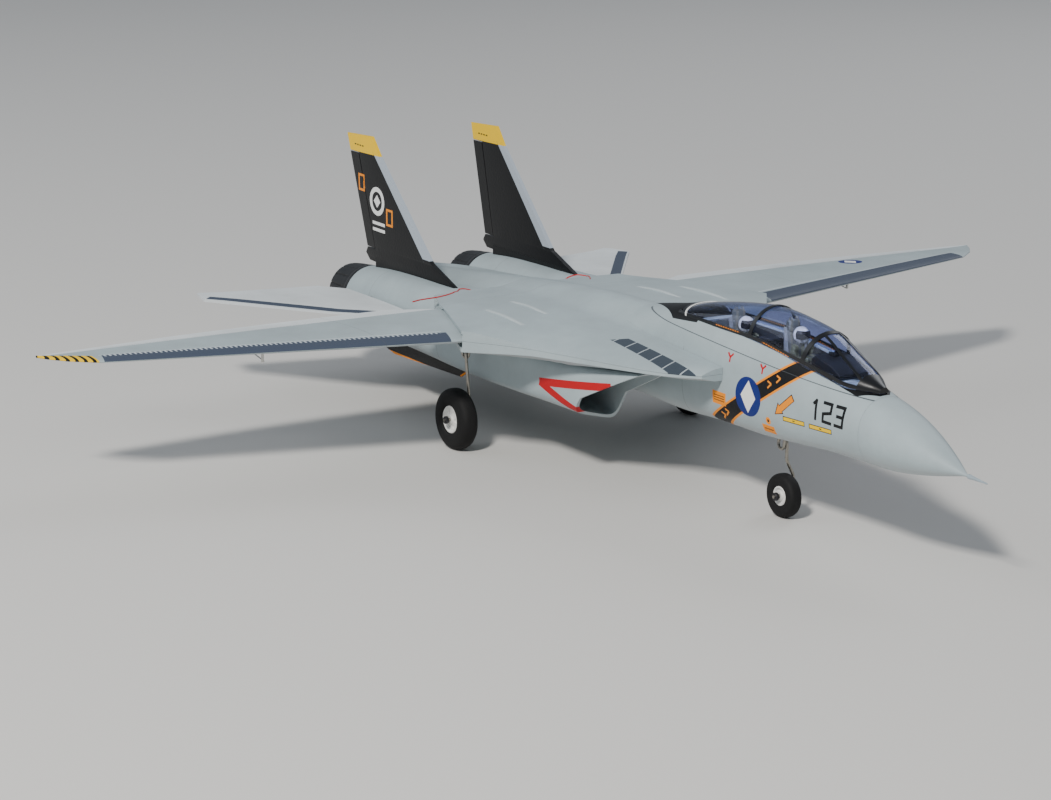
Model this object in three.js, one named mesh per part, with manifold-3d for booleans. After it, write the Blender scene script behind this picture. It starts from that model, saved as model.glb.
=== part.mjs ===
// Radio-controlled foam jet with swing wings, twin fins and two ducted fans.
// Millimetres. +X runs to the nose, +Y to the left wing, +Z up, and the wheels stand on z = 0.
import * as THREE from "three";
import { mergeVertices } from "three/addons/utils/BufferGeometryUtils.js";
import Module from "manifold-3d";

const wasm = await Module();
wasm.setup();

// ---------------------------------------------------------------- driving dimensions
const GAP = 0.3;
const RUNNING_GAP = 1;
const FAR = 900;

const NOSE_TIP = { x: 606, z: 132.6 };
const PITOT_TIP_X = 638;
const RADOME_JOINT_X = 459.7;
const NOSE_REAR_X = 0;
const SHELL_REAR_X = -300;
const NOZZLE_FRONT_X = -557;
const TAIL_TIP_X = -638;
const SPLIT_Z = 168;
const TUNNEL_ROOF_Z = 140;
const TUNNEL_HALF = 57;
const TUNNEL_DRAFT = 8;

// Forward fuselage rings: station, half width, top, widest height, bottom, squareness.
const FUSELAGE_RINGS = [
  [RADOME_JOINT_X - GAP, 39.5, 190.4, 150, 109, 2.1],
  [430, 41, 198, 151, 108.5, 2.2],
  [400, 42, 206, 152, 108.5, 2.4],
  [341, 44.5, 220, 152, 105, 2.8],
  [266, 47, 226, 153, 100, 3],
  [184, 49, 228.5, 154, 98.5, 3],
  [93, 50, 226.4, 155, 94, 3],
  [48, 50, 217.6, 155, 94, 2.8],
  [NOSE_REAR_X, 50, 208.5, 155, 94, 2.6],
];

// The hatch lifts off along a joint that climbs gently towards the tail.
const HATCH_JOINT = { x: 460, z: 187, slope: 0.0533 };

// Canopy rings: station, sill height, half width at the sill, top.
const CANOPY_RINGS = [
  [454, 193.5, 5, 198.5],
  [420, 195, 24, 213.5],
  [395, 200, 29, 225],
  [358.5, 206.5, 33, 242],
  [294, 213.5, 34, 252.3],
  [251, 217, 34, 254.3],
  [215.7, 217.5, 34, 250.9],
  [132.7, 217.5, 34, 236.6],
  [96, 217.5, 32, 227.8],
];
const GLASS_THICKNESS = 1.2;
const FRAME_THICKNESS = 1;

// Planform of the glove: leading edge stations (x, y), then the over-wing fairing edge.
const GLOVE_EDGE = [
  [212, 78], [187.8, 100], [152.4, 121], [91.9, 145.5], [36.2, 167.3], [-18.2, 191.1],
  [-82.8, 236.6], [-162, 205], [-242.6, 172.7], [-291.6, 149.6], [SHELL_REAR_X + GAP, 147],
];
const SPINE_CREST = [[0, 208.5], [-36, 205.4], [-127, 200.6], [-300, 184.5], [-491, 161.8], [-560, 153], [-638, 142]];
const SPINE_HALF_WIDTH = [[0, 56], [-300, 50], [-638, 40]];

// Nacelle rings: station, centre y, half width, top, centre z, bottom, cant, squareness.
const NACELLE_FRONT_RINGS = [
  [165, 95, 25, 163, 120, 96, 0.28, 6],
  [100, 101.5, 31, 157, 116, 86, 0.28, 6],
  [42, 107, 36, 152.5, 113, 81.5, 0.28, 6],
  [-20, 109, 38, 150, 112, 81.4, 0.25, 5.5],
  [-110, 108, 39.5, 150, 113, 80, 0.16, 5],
  [-210, 105, 41, 150, 115, 78.5, 0.06, 4],
  [SHELL_REAR_X, 102, 42.5, 150, 117, 77.5, 0, 3],
];
const NACELLE_REAR_RINGS = [
  [SHELL_REAR_X + 0.001, 102, 42.5, 175, 117, 77.5, 0, 3],
  [-345, 101, 43.5, 173.5, 118, 77, 0, 2.6],
  [-420, 99.5, 44, 172, 118.5, 76, 0, 2.3],
  [-490, 98, 43.5, 169, 119, 75.5, 0, 2.1],
  [NOZZLE_FRONT_X, 96.6, 43, 162.5, 119, 75.8, 0, 2],
];
// Duct rings, in the same columns, from the intake mouth to the nozzle.
const DUCT_FRONT_RINGS = [
  [170, 95, 21.5, 159, 120, 100, 0.28, 6],
  [100, 101.5, 27.5, 153, 116, 90, 0.28, 6],
  [42, 107, 32.5, 148.5, 113, 85.5, 0.28, 5],
  [-20, 109, 34.5, 146, 112, 85.4, 0.25, 4.5],
  [-110, 108, 34.5, 146.5, 113, 84.5, 0.16, 3.4],
  [-210, 104, 35, 148, 115, 83, 0.06, 2.5],
  [-296, 101, 35.6, 153.6, 118, 82.4, 0, 2],
  [-372, 101, 35.6, 153.6, 118, 82.4, 0, 2],
];
const DUCT_REAR_RINGS = [
  [-371.9, 101, 35.6, 153.6, 118, 82.4, 0, 2],
  [-470, 98.5, 35.2, 153.7, 118.5, 83.3, 0, 2],
  [-560, 96.6, 34.5, 153.5, 119, 84.5, 0, 2],
];
const FAN = { y: 101, z: 118, front: -300, length: 52, outer: 34.4, bore: 32.6, hub: 14, blades: 8 };
const NOZZLE = { y: 96.6, z: 119, length: 55, outer: 43, outerEnd: 37, bore: 35, boreEnd: 33 };

// Swing wing, drawn fully forward.
const PIVOT = { x: -165.8, y: 187 };
const SWEEP_STEPS = [0, 12, 24, 36, 48];
const WING_Z = 168;
const WING_LEADING = [[130, -56.8], [673.2, -193], [705, -217], [722, -238], [731, -254.5]];
const WING_TRAILING = [[130, -279.4], [408, -279.4], [544, -274.6], [700, -261], [731, -258]];
const WING_THICKNESS = [[130, 16], [260, 15], [650, 7], [731, 3]];
const TONGUE_RADIUS = 52;
const SLOT_HALF_THICK = 9.3;
const SLOT_HALF_THIN = 6;
const FLAP = { inner: 367, outer: 646, hingeInner: -247.4, hingeOuter: -254.5, gap: 1.5, hornLength: 14 };
const SERVO = { x: -196, y: 474, length: 23, width: 20, height: 9, bottom: 157.5 };
const FLAP_ARM = { x: -190, y: 459, z: 159 };

const STABILATOR_OUTLINE = [
  [-339.2, 146.2], [-420.8, 234.6], [-546.6, 331.2], [-570.4, 350.2], [-611, 341], [-616.6, 336.6],
  [-604.4, 309.4], [-577.2, 172], [-537.8, 146.2],
];
const STABILATOR = { z: 136, hingeX: -475, root: 8, tip: 4, shaftRadius: 3 };

const FIN_OUTLINE = [
  [-323.6, 172], [-389.5, 195.8], [-526.9, 323.7], [-546.6, 346.8], [-616.6, 342.7], [-566, 188.4],
  [-571, 180], [-560.2, 170.7],
];
const FIN = { y: 96, base: 171, thickness: 7, cant: 1.8, tabDepth: 7 };
const RUDDER = { bottom: 190, top: 318, chord: 24, gap: 1.6 };
const VENTRAL_OUTLINE = [[-244, 84], [-276, 66], [-452, 60], [-482, 66], [-482, 84]];
const VENTRAL = { y: 118, thickness: 3 };

const MAIN_WHEEL = { x: -177.4, y: 185, radius: 40, width: 24, hub: 22, sides: 16 };
const NOSE_WHEEL = { x: 277.6, y: 0, radius: 27, width: 18, hub: 14, sides: 12 };
const WIRE_RADIUS = 2;
const MAIN_PLATE = { x: -183, y: 170, length: 34, width: 24, bottom: 138, height: 8 };
const NOSE_STEER_X = 276;

// ---------------------------------------------------------------- finishes
const finish = (color, roughness, metalness = 0) => ({ color, roughness, metalness });
const FINISH = {
  grey: finish(0xa8b7bc, 0.55),
  white: finish(0xe6e8e8, 0.5),
  black: finish(0x191b1e, 0.5),
  rubber: finish(0x202124, 0.85),
  steel: finish(0x9a9fa5, 0.3, 0.9),
  smoke: finish(0x5a6c8a, 0.1),
  seat: finish(0x6d7072, 0.8),
  suit: finish(0x5c6346, 0.85),
  plastic: finish(0x2b2d30, 0.4),
  alloy: finish(0xb7babd, 0.35, 0.8),
  battery: finish(0x2f5fa8, 0.4),
};

// ---------------------------------------------------------------- geometry helpers
// Straight-line value from a table of [key, value] rows in either order.
function along(table, key) {
  const rows = table[0][0] < table[table.length - 1][0] ? table : [...table].reverse();
  if (key <= rows[0][0]) {
    return rows[0][1];
  }
  for (let i = 1; i < rows.length; i += 1) {
    if (key <= rows[i][0]) {
      const part = (key - rows[i - 1][0]) / (rows[i][0] - rows[i - 1][0]);
      return rows[i - 1][1] + part * (rows[i][1] - rows[i - 1][1]);
    }
  }
  return rows[rows.length - 1][1];
}

function smoothStep(from, to, value) {
  const part = Math.min(1, Math.max(0, (value - from) / (to - from)));
  return part * part * (3 - 2 * part);
}

function geometryOf(positions, triangles) {
  const geometry = new THREE.BufferGeometry();
  geometry.setAttribute("position", new THREE.Float32BufferAttribute(positions, 3));
  geometry.setIndex(triangles);
  return geometry;
}

function signedVolume(points, triangles) {
  let total = 0;
  for (let i = 0; i < triangles.length; i += 3) {
    const [a, b, c] = [points[triangles[i]], points[triangles[i + 1]], points[triangles[i + 2]]];
    total += a.dot(new THREE.Vector3().crossVectors(b, c));
  }
  return total;
}

// Closed skin through rings of equal point counts; each end is capped by strips across the ring.
function skin(rings) {
  const count = rings[0].length;
  const points = rings.flat();
  const triangles = [];
  const face = (a, b, c) => {
    if (a !== b && b !== c && a !== c) {
      triangles.push(a, b, c);
    }
  };
  for (let r = 0; r + 1 < rings.length; r += 1) {
    for (let k = 0; k < count; k += 1) {
      const next = (k + 1) % count;
      const low = r * count;
      const high = low + count;
      face(low + k, low + next, high + next);
      face(low + k, high + next, high + k);
    }
  }
  const last = (rings.length - 1) * count;
  for (let k = 0; k + 1 < count - 1 - k; k += 1) {
    const mirror = count - 1 - k;
    face(k, mirror, mirror - 1);
    face(k, mirror - 1, k + 1);
    face(last + k, last + mirror - 1, last + mirror);
    face(last + k, last + k + 1, last + mirror - 1);
  }
  if (signedVolume(points, triangles) < 0) {
    triangles.reverse();
  }
  return geometryOf(points.flatMap((p) => [p.x, p.y, p.z]), triangles);
}

function solid(geometry) {
  const bare = geometry.index ? geometry.clone() : geometry;
  bare.deleteAttribute("normal");
  bare.deleteAttribute("uv");
  const merged = mergeVertices(bare, 1e-4);
  return new wasm.Manifold(new wasm.Mesh({
    numProp: 3,
    vertProperties: Float32Array.from(merged.attributes.position.array),
    triVerts: Uint32Array.from(merged.index.array),
  }));
}

function surface(body) {
  const mesh = body.getMesh();
  return geometryOf(Array.from(mesh.vertProperties), Array.from(mesh.triVerts));
}

function join(...bodies) {
  return bodies.reduce((whole, body) => whole.add(body));
}

function cut(body, ...tools) {
  return tools.reduce((whole, tool) => whole.subtract(tool), body);
}

function mirrored(body) {
  return body.mirror([0, 1, 0]);
}

function box(x0, x1, y0, y1, z0, z1) {
  const geometry = new THREE.BoxGeometry(x1 - x0, y1 - y0, z1 - z0);
  geometry.translate((x0 + x1) / 2, (y0 + y1) / 2, (z0 + z1) / 2);
  return solid(geometry);
}

function extrude(outline, depth) {
  const shape = new THREE.Shape(outline.map(([a, b]) => new THREE.Vector2(a, b)));
  return new THREE.ExtrudeGeometry(shape, { depth, bevelEnabled: false });
}

// Flat piece with an outline of (x, y) points.
function plate(outline, z0, z1) {
  return solid(extrude(outline, z1 - z0).translate(0, 0, z0));
}

// Upright piece with an outline of (x, z) points.
function sidePlate(outline, y0, y1) {
  return solid(extrude(outline, y1 - y0).rotateX(Math.PI / 2).translate(0, y1, 0));
}

// Round bar between two points.
function bar(from, to, radius, sides = 12, radiusEnd = radius) {
  const start = new THREE.Vector3(...from);
  const end = new THREE.Vector3(...to);
  const span = end.clone().sub(start);
  const geometry = new THREE.CylinderGeometry(radiusEnd, radius, span.length(), sides);
  const turn = new THREE.Quaternion().setFromUnitVectors(new THREE.Vector3(0, 1, 0), span.clone().normalize());
  geometry.applyQuaternion(turn);
  geometry.translate(...start.add(end).multiplyScalar(0.5).toArray());
  return solid(geometry);
}

// Bent wire through points, with a round section.
function wire(points, radius) {
  const path = new THREE.CatmullRomCurve3(points.map((p) => new THREE.Vector3(...p)), false, "centripetal");
  const section = new THREE.Shape();
  const sides = 8;
  for (let i = 0; i <= sides; i += 1) {
    const angle = (i / sides) * 2 * Math.PI;
    const corner = [radius * Math.cos(angle), radius * Math.sin(angle)];
    if (i === 0) {
      section.moveTo(...corner);
    } else {
      section.lineTo(...corner);
    }
  }
  const steps = points.length * 2;
  return solid(new THREE.ExtrudeGeometry(section, { extrudePath: path, steps, bevelEnabled: false }));
}

// Ring of a rounded box section in the plane x = station. Cant lifts the outboard side.
function roundedRing(station, centreY, halfWidth, top, centreZ, bottom, cant, squareness, count, grow = 0) {
  const ring = [];
  for (let k = 0; k < count; k += 1) {
    const angle = ((k + 0.5) / count) * 2 * Math.PI;
    const across = Math.sign(Math.cos(angle)) * Math.abs(Math.cos(angle)) ** (2 / squareness);
    const up = Math.sign(Math.sin(angle)) * Math.abs(Math.sin(angle)) ** (2 / squareness);
    const y = across * (halfWidth + grow);
    const z = up > 0 ? up * (top - centreZ + grow) : up * (centreZ - bottom + grow);
    ring.push(new THREE.Vector3(station, centreY + y, centreZ + z + (up > 0 ? 0 : cant * y)));
  }
  return ring;
}

// ---------------------------------------------------------------- nose and cockpit
function fuselageCore(grow) {
  return solid(skin(FUSELAGE_RINGS.map(([x, half, top, middle, bottom, squareness]) =>
    roundedRing(x, 0, half, top, middle, bottom, 0, squareness, 24, grow))));
}

// Thin air between the nose parts: a slab that follows the hatch joint.
function hatchCut(offset) {
  const height = (x) => HATCH_JOINT.z + (HATCH_JOINT.x - x) * HATCH_JOINT.slope + offset;
  return (above) => {
    const limit = above ? FAR : -FAR;
    return sidePlate([[FAR, height(FAR)], [-FAR, height(-FAR)], [-FAR, limit], [FAR, limit]], -FAR, FAR);
  };
}

function radome() {
  const stations = [0, 0.06, 0.16, 0.3, 0.45, 0.62, 0.8, 1];
  const length = NOSE_TIP.x - RADOME_JOINT_X;
  const rings = stations.map((part) => {
    const curve = Math.sin((part * Math.PI) / 2);
    const half = Math.max(1.6, 39.5 * curve ** 0.9);
    const top = NOSE_TIP.z + Math.max(1.6, 57.8 * (0.5 * part + 0.5 * curve));
    const bottom = NOSE_TIP.z - Math.max(1.6, 23.6 * curve);
    const middle = NOSE_TIP.z + 17.4 * part;
    return roundedRing(NOSE_TIP.x - part * length, 0, half, top, middle, bottom, 0, 2.1, 24);
  });
  return solid(skin(rings));
}

function pitotProbe() {
  const z = NOSE_TIP.z;
  return bar([NOSE_TIP.x + GAP, 0, z], [PITOT_TIP_X, 0, z - 1], 1.5, 10, 0.7);
}

// Canopy hull with an outward offset, standing on skirts that reach below the sill.
function canopyHull(offset, skirt) {
  const rings = CANOPY_RINGS.map(([x, sill, half, top]) => {
    const count = 13;
    const ring = [];
    const wide = Math.max(1, half + offset);
    for (let k = 0; k < count; k += 1) {
      const angle = (k / (count - 1)) * Math.PI;
      const y = Math.cos(angle) * wide;
      ring.push(new THREE.Vector3(x, y, sill + Math.sin(angle) ** 0.9 * Math.max(1.5, top - sill + offset)));
    }
    ring.push(new THREE.Vector3(x, -wide, sill - skirt), new THREE.Vector3(x, wide, sill - skirt));
    return ring;
  });
  rings[0].forEach((point) => {
    point.x += offset;
  });
  rings[rings.length - 1].forEach((point) => {
    point.x -= offset;
  });
  return solid(skin(rings));
}

function canopyGlass() {
  const outside = canopyHull(0, 3);
  return cut(outside, canopyHull(-GLASS_THICKNESS, 30));
}

// Bows and sills laid over the glass as one black frame.
function canopyFrame() {
  const shell = cut(canopyHull(GAP + FRAME_THICKNESS, 0), canopyHull(GAP, 30));
  const bow = (foot, crown, width) => sidePlate([
    [foot[0] - width, foot[1]], [foot[0] + width, foot[1]], [crown[0] + width, crown[1]],
    [crown[0] - width, crown[1]],
  ], -60, 60);
  const sillLine = CANOPY_RINGS.map(([x, sill]) => [x, sill + 5]);
  const sillBand = sidePlate([[470, 198], ...sillLine, [80, 222], [80, 180], [470, 180]], -60, 60);
  const bows = join(
    bow([340, 190], [360, 260], 3.5),
    bow([239, 190], [252, 270], 3.5),
    bow([118, 200], [93, 245], 5),
    bow([440, 180], [450, 260], 14),
  );
  return shell.intersect(join(sillBand, bows));
}

const COCKPIT = { front: 394, rear: 132, half: 27, floor: 176, wall: 1.5, bulkhead: 236 };

function cockpitTub() {
  const { front, rear, half, floor, wall, bulkhead } = COCKPIT;
  const rim = [[front, 198.5], [340, 205], [250, 214], [rear, 214.5]];
  const outline = [[rear, floor], [front, floor + 14], ...rim];
  const outer = sidePlate(outline, -half, half);
  const frontWell = sidePlate([
    [bulkhead + wall, floor + 4], [front - wall, floor + 17], [front - wall, 260], [bulkhead + wall, 260],
  ], wall - half, half - wall);
  const rearWell = box(rear + wall, bulkhead - wall, wall - half, half - wall, floor + wall, 260);
  return cut(outer, frontWell, rearWell);
}

function cockpitHollow(extra) {
  const { front, rear, half, floor } = COCKPIT;
  return sidePlate([
    [rear - extra, floor - extra], [front + extra, floor + 14 - extra], [front + extra, 260], [rear - extra, 260],
  ], -half - extra, half + extra);
}

function hatchDeck() {
  const upper = fuselageCore(0).intersect(hatchCut(GAP / 2)(true));
  const canopySeat = join(canopyHull(GAP, 3 + GAP), canopyHull(2 * GAP + FRAME_THICKNESS, GAP));
  return cut(upper, canopySeat, cockpitHollow(GAP));
}

const BAY = { front: 400, rear: 100, half: 31, floor: 122 };
const RECEIVER_SHELF = { front: 186, rear: 106, half: 27, top: 125 };

function noseFuselage() {
  const lower = fuselageCore(0).intersect(hatchCut(-GAP / 2)(false));
  const bay = box(BAY.rear, BAY.front, -BAY.half, BAY.half, BAY.floor, FAR);
  const gearWell = box(NOSE_STEER_X - 16, NOSE_STEER_X + 14, -15, 15, 80, BAY.floor - 6);
  const { front, rear, half, top } = RECEIVER_SHELF;
  return join(cut(lower, bay, gearWell), box(rear, front, -half, half, BAY.floor - 1, top));
}

// Seat built on its own corner: x runs forward, z up.
function seat() {
  return join(
    box(-13, 13, -12, 12, 0, 8),
    sidePlate([[-14, 0], [-7, 0], [-13, 42], [-20, 42]], -12, 12),
    box(-22, -12, -8, 8, 40, 54),
  );
}

function pilot() {
  const helmet = new THREE.SphereGeometry(10, 12, 7);
  helmet.translate(0, 0, 39);
  return join(
    box(-7, 5, -12, 12, 9, 28),
    bar([0, 0, 27], [0, 0, 32], 4, 10),
    solid(helmet),
    box(2, 22, -11, -4, 9, 15),
    box(2, 22, 4, 11, 9, 15),
  );
}

function coaming() {
  return sidePlate([[346, 206], [352, 217], [384, 211], [402, 203], [402, 200.5], [372, 204]], -22, 22);
}

// ---------------------------------------------------------------- main body shells
const SPREAD = [-1, -0.97, -0.88, -0.74, -0.58, -0.42, -0.26, -0.13, 0];
const COLUMNS = [...SPREAD, ...SPREAD.slice(0, -1).map((value) => -value).reverse()];

// Skin between an upper and a lower height function over a plan of given half widths.
function heightField(stations, halfWidth, upper, lower) {
  return solid(skin(stations.map((x) => {
    const half = halfWidth(x);
    const top = COLUMNS.map((part) => new THREE.Vector3(x, part * half, upper(x, Math.abs(part * half))));
    const under = COLUMNS.map((part) => new THREE.Vector3(x, part * half, lower(x, Math.abs(part * half))));
    return [...top, ...under.reverse()];
  })));
}

const gloveHalf = (x) => along(GLOVE_EDGE, x);

function spineHump(x, y, plateau) {
  const crest = along(SPINE_CREST, x);
  const part = Math.min(1, y / along(SPINE_HALF_WIDTH, x));
  return Math.max(0, crest - plateau) * (1 - part * part) ** 2;
}

// Top of the gloves and over-wing fairings: thin rounded leading edge, then a blunt fairing edge.
function upperHeight(x, y) {
  const fairing = smoothStep(10, -84, x);
  const edge = SPLIT_Z + 1.2 + 11.8 * fairing - 5.5 * smoothStep(-150, -300, x);
  const plateau = along([[212, 176], [100, 183], [0, 186.5], [-120, 188], [-220, 183], [-300, 177]], x);
  const inward = Math.min(1, (gloveHalf(x) - y) / Math.max(30, gloveHalf(x) - 50));
  const rise = 1 - (1 - Math.max(0, inward)) ** (2 - 0.4 * fairing);
  const surfaceZ = edge + (plateau - edge) * rise;
  return surfaceZ + spineHump(x, y, surfaceZ) * smoothStep(60, 0, x);
}

// Underside of the gloves, sloping down inboard to meet the nacelles.
function lowerHeight(x, y) {
  const edge = along([[212, 165.5], [0, 160], [-83, 154], [-300, 154]], x);
  const root = along([[212, 160], [99, 157], [10, 149], [-83, 137.5], [-179, 125], [-300, 122]], x);
  const inboard = 147;
  const span = Math.max(20, gloveHalf(x) - inboard);
  const part = Math.min(1, Math.max(0, (gloveHalf(x) - y) / span));
  return edge + (root - edge) * part;
}

const SHELL_STATIONS = [
  211, 188, 152, 92, 36, -18, -50, -82.8, -120, -162, -242.6, -291.6, SHELL_REAR_X + GAP,
];

// Wing outline near the root, grown by a margin, for a wing swept by an angle in degrees.
function rootOutline(margin, rearLimit) {
  const leading = (y) => along(WING_LEADING, y) + margin;
  const points = [[leading(330), 330], [leading(205), 205]];
  for (let angle = -24; angle >= -156; angle -= 33) {
    const turn = (angle * Math.PI) / 180;
    const radius = TONGUE_RADIUS + margin;
    points.push([PIVOT.x + radius * Math.cos(turn), PIVOT.y + radius * Math.sin(turn)]);
  }
  points.push([-242.6 - margin, 172.7 - margin], [-279.4 - margin, 231 - margin], [-279.4 - margin, 330]);
  return points.map(([x, y]) => [Math.max(x, rearLimit), y]);
}

function sweptBy(outline, degrees) {
  const turn = (degrees * Math.PI) / 180;
  return outline.map(([x, y]) => {
    const [dx, dy] = [x - PIVOT.x, y - PIVOT.y];
    return [
      PIVOT.x + dx * Math.cos(turn) - dy * Math.sin(turn),
      PIVOT.y + dx * Math.sin(turn) + dy * Math.cos(turn),
    ];
  });
}

// Room that the wing root sweeps through: deep around the pivot, shallow behind it.
function wingSlot() {
  const deepRear = PIVOT.x - 49;
  const passes = SWEEP_STEPS.map((degrees) => join(
    plate(sweptBy(rootOutline(1.6, deepRear), degrees), WING_Z - SLOT_HALF_THICK, WING_Z + SLOT_HALF_THICK),
    plate(sweptBy(rootOutline(1.6, -FAR), degrees), WING_Z - SLOT_HALF_THIN, WING_Z + SLOT_HALF_THIN),
  ));
  const left = join(...passes);
  return join(left, mirrored(left));
}

function nacelleHull(rings, count, grow = 0) {
  return solid(skin(rings.map((ring) => roundedRing(...ring, count, grow))));
}

// Raked intake mouth: the lip runs down and aft, then drops almost straight.
function intakeRake() {
  return sidePlate([[250, 230], [163, 170], [45, 112], [30, 88], [12, 60], [250, 60]], -FAR, FAR);
}

function nacelleShape(grow) {
  const front = nacelleHull(NACELLE_FRONT_RINGS, 20, grow);
  const rear = nacelleHull(NACELLE_REAR_RINGS, 20, grow);
  return { front, rear };
}

function pinHole(radius) {
  const left = bar([PIVOT.x, PIVOT.y, 150], [PIVOT.x, PIVOT.y, 177], radius, 16);
  return join(left, mirrored(left));
}

const slot = wingSlot();
const coreRoom = fuselageCore(GAP);
const nacelleRoom = nacelleShape(GAP);
const nacelleRooms = join(nacelleRoom.front, mirrored(nacelleRoom.front));

function upperShell() {
  const field = heightField(SHELL_STATIONS, gloveHalf, upperHeight, () => SPLIT_Z + GAP / 2);
  return cut(field, slot, coreRoom);
}

function bellyFairing() {
  return solid(skin([
    roundedRing(NOSE_REAR_X - GAP, 0, 50, 160, 150, 94, 0, 2.6, 24),
    roundedRing(-90, 0, 45, 160, 150, 106, 0, 2.4, 24),
    roundedRing(-170, 0, 36, 160, 150, 124, 0, 2.2, 24),
    roundedRing(-235, 0, 24, 160, 152, 139, 0, 2, 24),
  ]));
}

// Plastic plate that holds a main leg, let into the underside of the glove.
function mainPlate(grow) {
  const { x, y, length, width, bottom, height } = MAIN_PLATE;
  const low = grow > 0 ? 100 : bottom;
  return box(
    x - length / 2 - grow, x + length / 2 + grow, y - width / 2 - grow, y + width / 2 + grow, low,
    bottom + height + grow,
  );
}

function lowerShell() {
  const field = heightField(SHELL_STATIONS, gloveHalf, () => SPLIT_Z - GAP / 2, lowerHeight);
  const tunnel = solid(skin([SHELL_REAR_X - 10, -165].map((x) => [
    new THREE.Vector3(x, -TUNNEL_HALF, TUNNEL_ROOF_Z),
    new THREE.Vector3(x, TUNNEL_HALF, TUNNEL_ROOF_Z),
    new THREE.Vector3(x, TUNNEL_HALF + TUNNEL_DRAFT, 60),
    new THREE.Vector3(x, -TUNNEL_HALF - TUNNEL_DRAFT, 60),
  ])));
  const roofed = cut(field, tunnel);
  const plateRoom = mainPlate(GAP);
  return cut(
    join(roofed, bellyFairing()), slot, coreRoom, nacelleRooms, plateRoom, mirrored(plateRoom), pinHole(5.5),
  );
}

function tailDeck() {
  const stations = [SHELL_REAR_X, -340, -400, -460, -520, -580, TAIL_TIP_X];
  const half = (x) => along([[-300, 75], [-557, 62], [-600, 56], [-638, 46]], x);
  const top = (x, y) => {
    const plateau = along([[-300, 170], [-400, 160], [-557, 147], [-638, 139]], x);
    return plateau + spineHump(x, y, plateau);
  };
  const bottom = (x) => along([[-300, TUNNEL_ROOF_Z], [-400, 138], [-638, 134]], x);
  const nozzleRoom = bar([-550, NOZZLE.y, NOZZLE.z], [-700, NOZZLE.y, NOZZLE.z], NOZZLE.outer + 1, 28);
  return cut(
    heightField(stations, half, top, bottom),
    nacelleRoom.rear, mirrored(nacelleRoom.rear), nozzleRoom, mirrored(nozzleRoom),
  );
}

function finTab(grow) {
  const { y, thickness, tabDepth, base } = FIN;
  const low = base - tabDepth - grow;
  return box(-540 - grow, -360 + grow, y - thickness / 2 - grow, y + thickness / 2 + grow, low, base + 8);
}

function nacelle() {
  const duct = join(nacelleHull(DUCT_FRONT_RINGS, 16), nacelleHull(DUCT_REAR_RINGS, 16));
  const shape = nacelleShape(0);
  const finGroove = finTab(GAP);
  return cut(join(shape.front, shape.rear), intakeRake(), duct, finGroove, finHull(GAP), ventralFin(GAP));
}

function fanHousing() {
  const { front, length, outer, bore } = FAN;
  return cut(
    bar([front, 0, 0], [front - length, 0, 0], outer, 20),
    bar([front + 1, 0, 0], [front - length - 1, 0, 0], bore / Math.cos(Math.PI / 20), 20),
  );
}

function fanRotor() {
  const { front, bore, hub, blades } = FAN;
  const tip = bore - RUNNING_GAP;
  let rotor = join(
    bar([front - 22, 0, 0], [front - 6, 0, 0], hub, 20),
    bar([front - 6.01, 0, 0], [front + 6, 0, 0], hub, 20, 4),
  );
  for (let i = 0; i < blades; i += 1) {
    const blade = new THREE.BoxGeometry(13, 1.2, tip - hub + 3);
    blade.rotateZ(0.75);
    blade.translate(front - 14, 0, (tip + hub - 3) / 2);
    blade.rotateX((i / blades) * 2 * Math.PI);
    rotor = join(rotor, solid(blade));
  }
  return rotor.intersect(bar([front + 10, 0, 0], [front - 30, 0, 0], tip, 24));
}

// Motor can behind the rotor, held by four stator vanes that stop short of the housing bore.
function fanMotor() {
  const { front, bore, hub } = FAN;
  let motor = bar([front - 23, 0, 0], [front - 56, 0, 0], hub - 1, 20, hub - 4);
  for (let i = 0; i < 4; i += 1) {
    const vane = new THREE.BoxGeometry(14, 1.6, bore - GAP - 6);
    vane.translate(front - 40, 0, (bore - GAP + 6) / 2);
    vane.rotateX(((i + 0.5) / 4) * 2 * Math.PI);
    motor = join(motor, solid(vane));
  }
  return motor;
}

function nozzle() {
  const { length, outer, outerEnd, bore, boreEnd } = NOZZLE;
  return cut(
    bar([0, 0, 0], [-length, 0, 0], outer, 20, outerEnd),
    bar([1, 0, 0], [-length - 1, 0, 0], bore, 20, boreEnd),
  );
}

// ---------------------------------------------------------------- wings
const CHORD_PARTS = [1, 0.85, 0.68, 0.5, 0.32, 0.16, 0.06, 0.015];

function sectionHalf(part) {
  return 2.97 * Math.sqrt(part) - 1.26 * part - 3.516 * part ** 2 + 2.843 * part ** 3 - 1.015 * part ** 4;
}

// Symmetrical section lying across the span at a height.
function foilRing(y, leading, trailing, thickness, z, edge) {
  const chord = trailing - leading;
  const half = (part) => Math.max(edge, (thickness / 2) * sectionHalf(part));
  const upper = CHORD_PARTS.map((part) => new THREE.Vector3(leading + chord * part, y, z + half(part)));
  const lower = CHORD_PARTS.map((part) => new THREE.Vector3(leading + chord * part, y, z - half(part)));
  return [...upper, new THREE.Vector3(leading, y, z), ...lower.reverse()];
}

function wingBlank() {
  const stations = [130, 408, 544, 673.2, 705, 722, 731];
  return solid(skin(stations.map((y) =>
    foilRing(y, along(WING_LEADING, y), along(WING_TRAILING, y), along(WING_THICKNESS, y), WING_Z, 0.5))));
}

const hingeX = (y) => along([[FLAP.inner, FLAP.hingeInner], [FLAP.outer, FLAP.hingeOuter]], y);

function flapBay(grow) {
  const [inner, outer] = [FLAP.inner - grow, FLAP.outer + grow];
  return plate([
    [hingeX(FLAP.inner) + grow, inner], [hingeX(FLAP.outer) + grow, outer], [-FAR, outer], [-FAR, inner],
  ], 100, 240);
}

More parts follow.
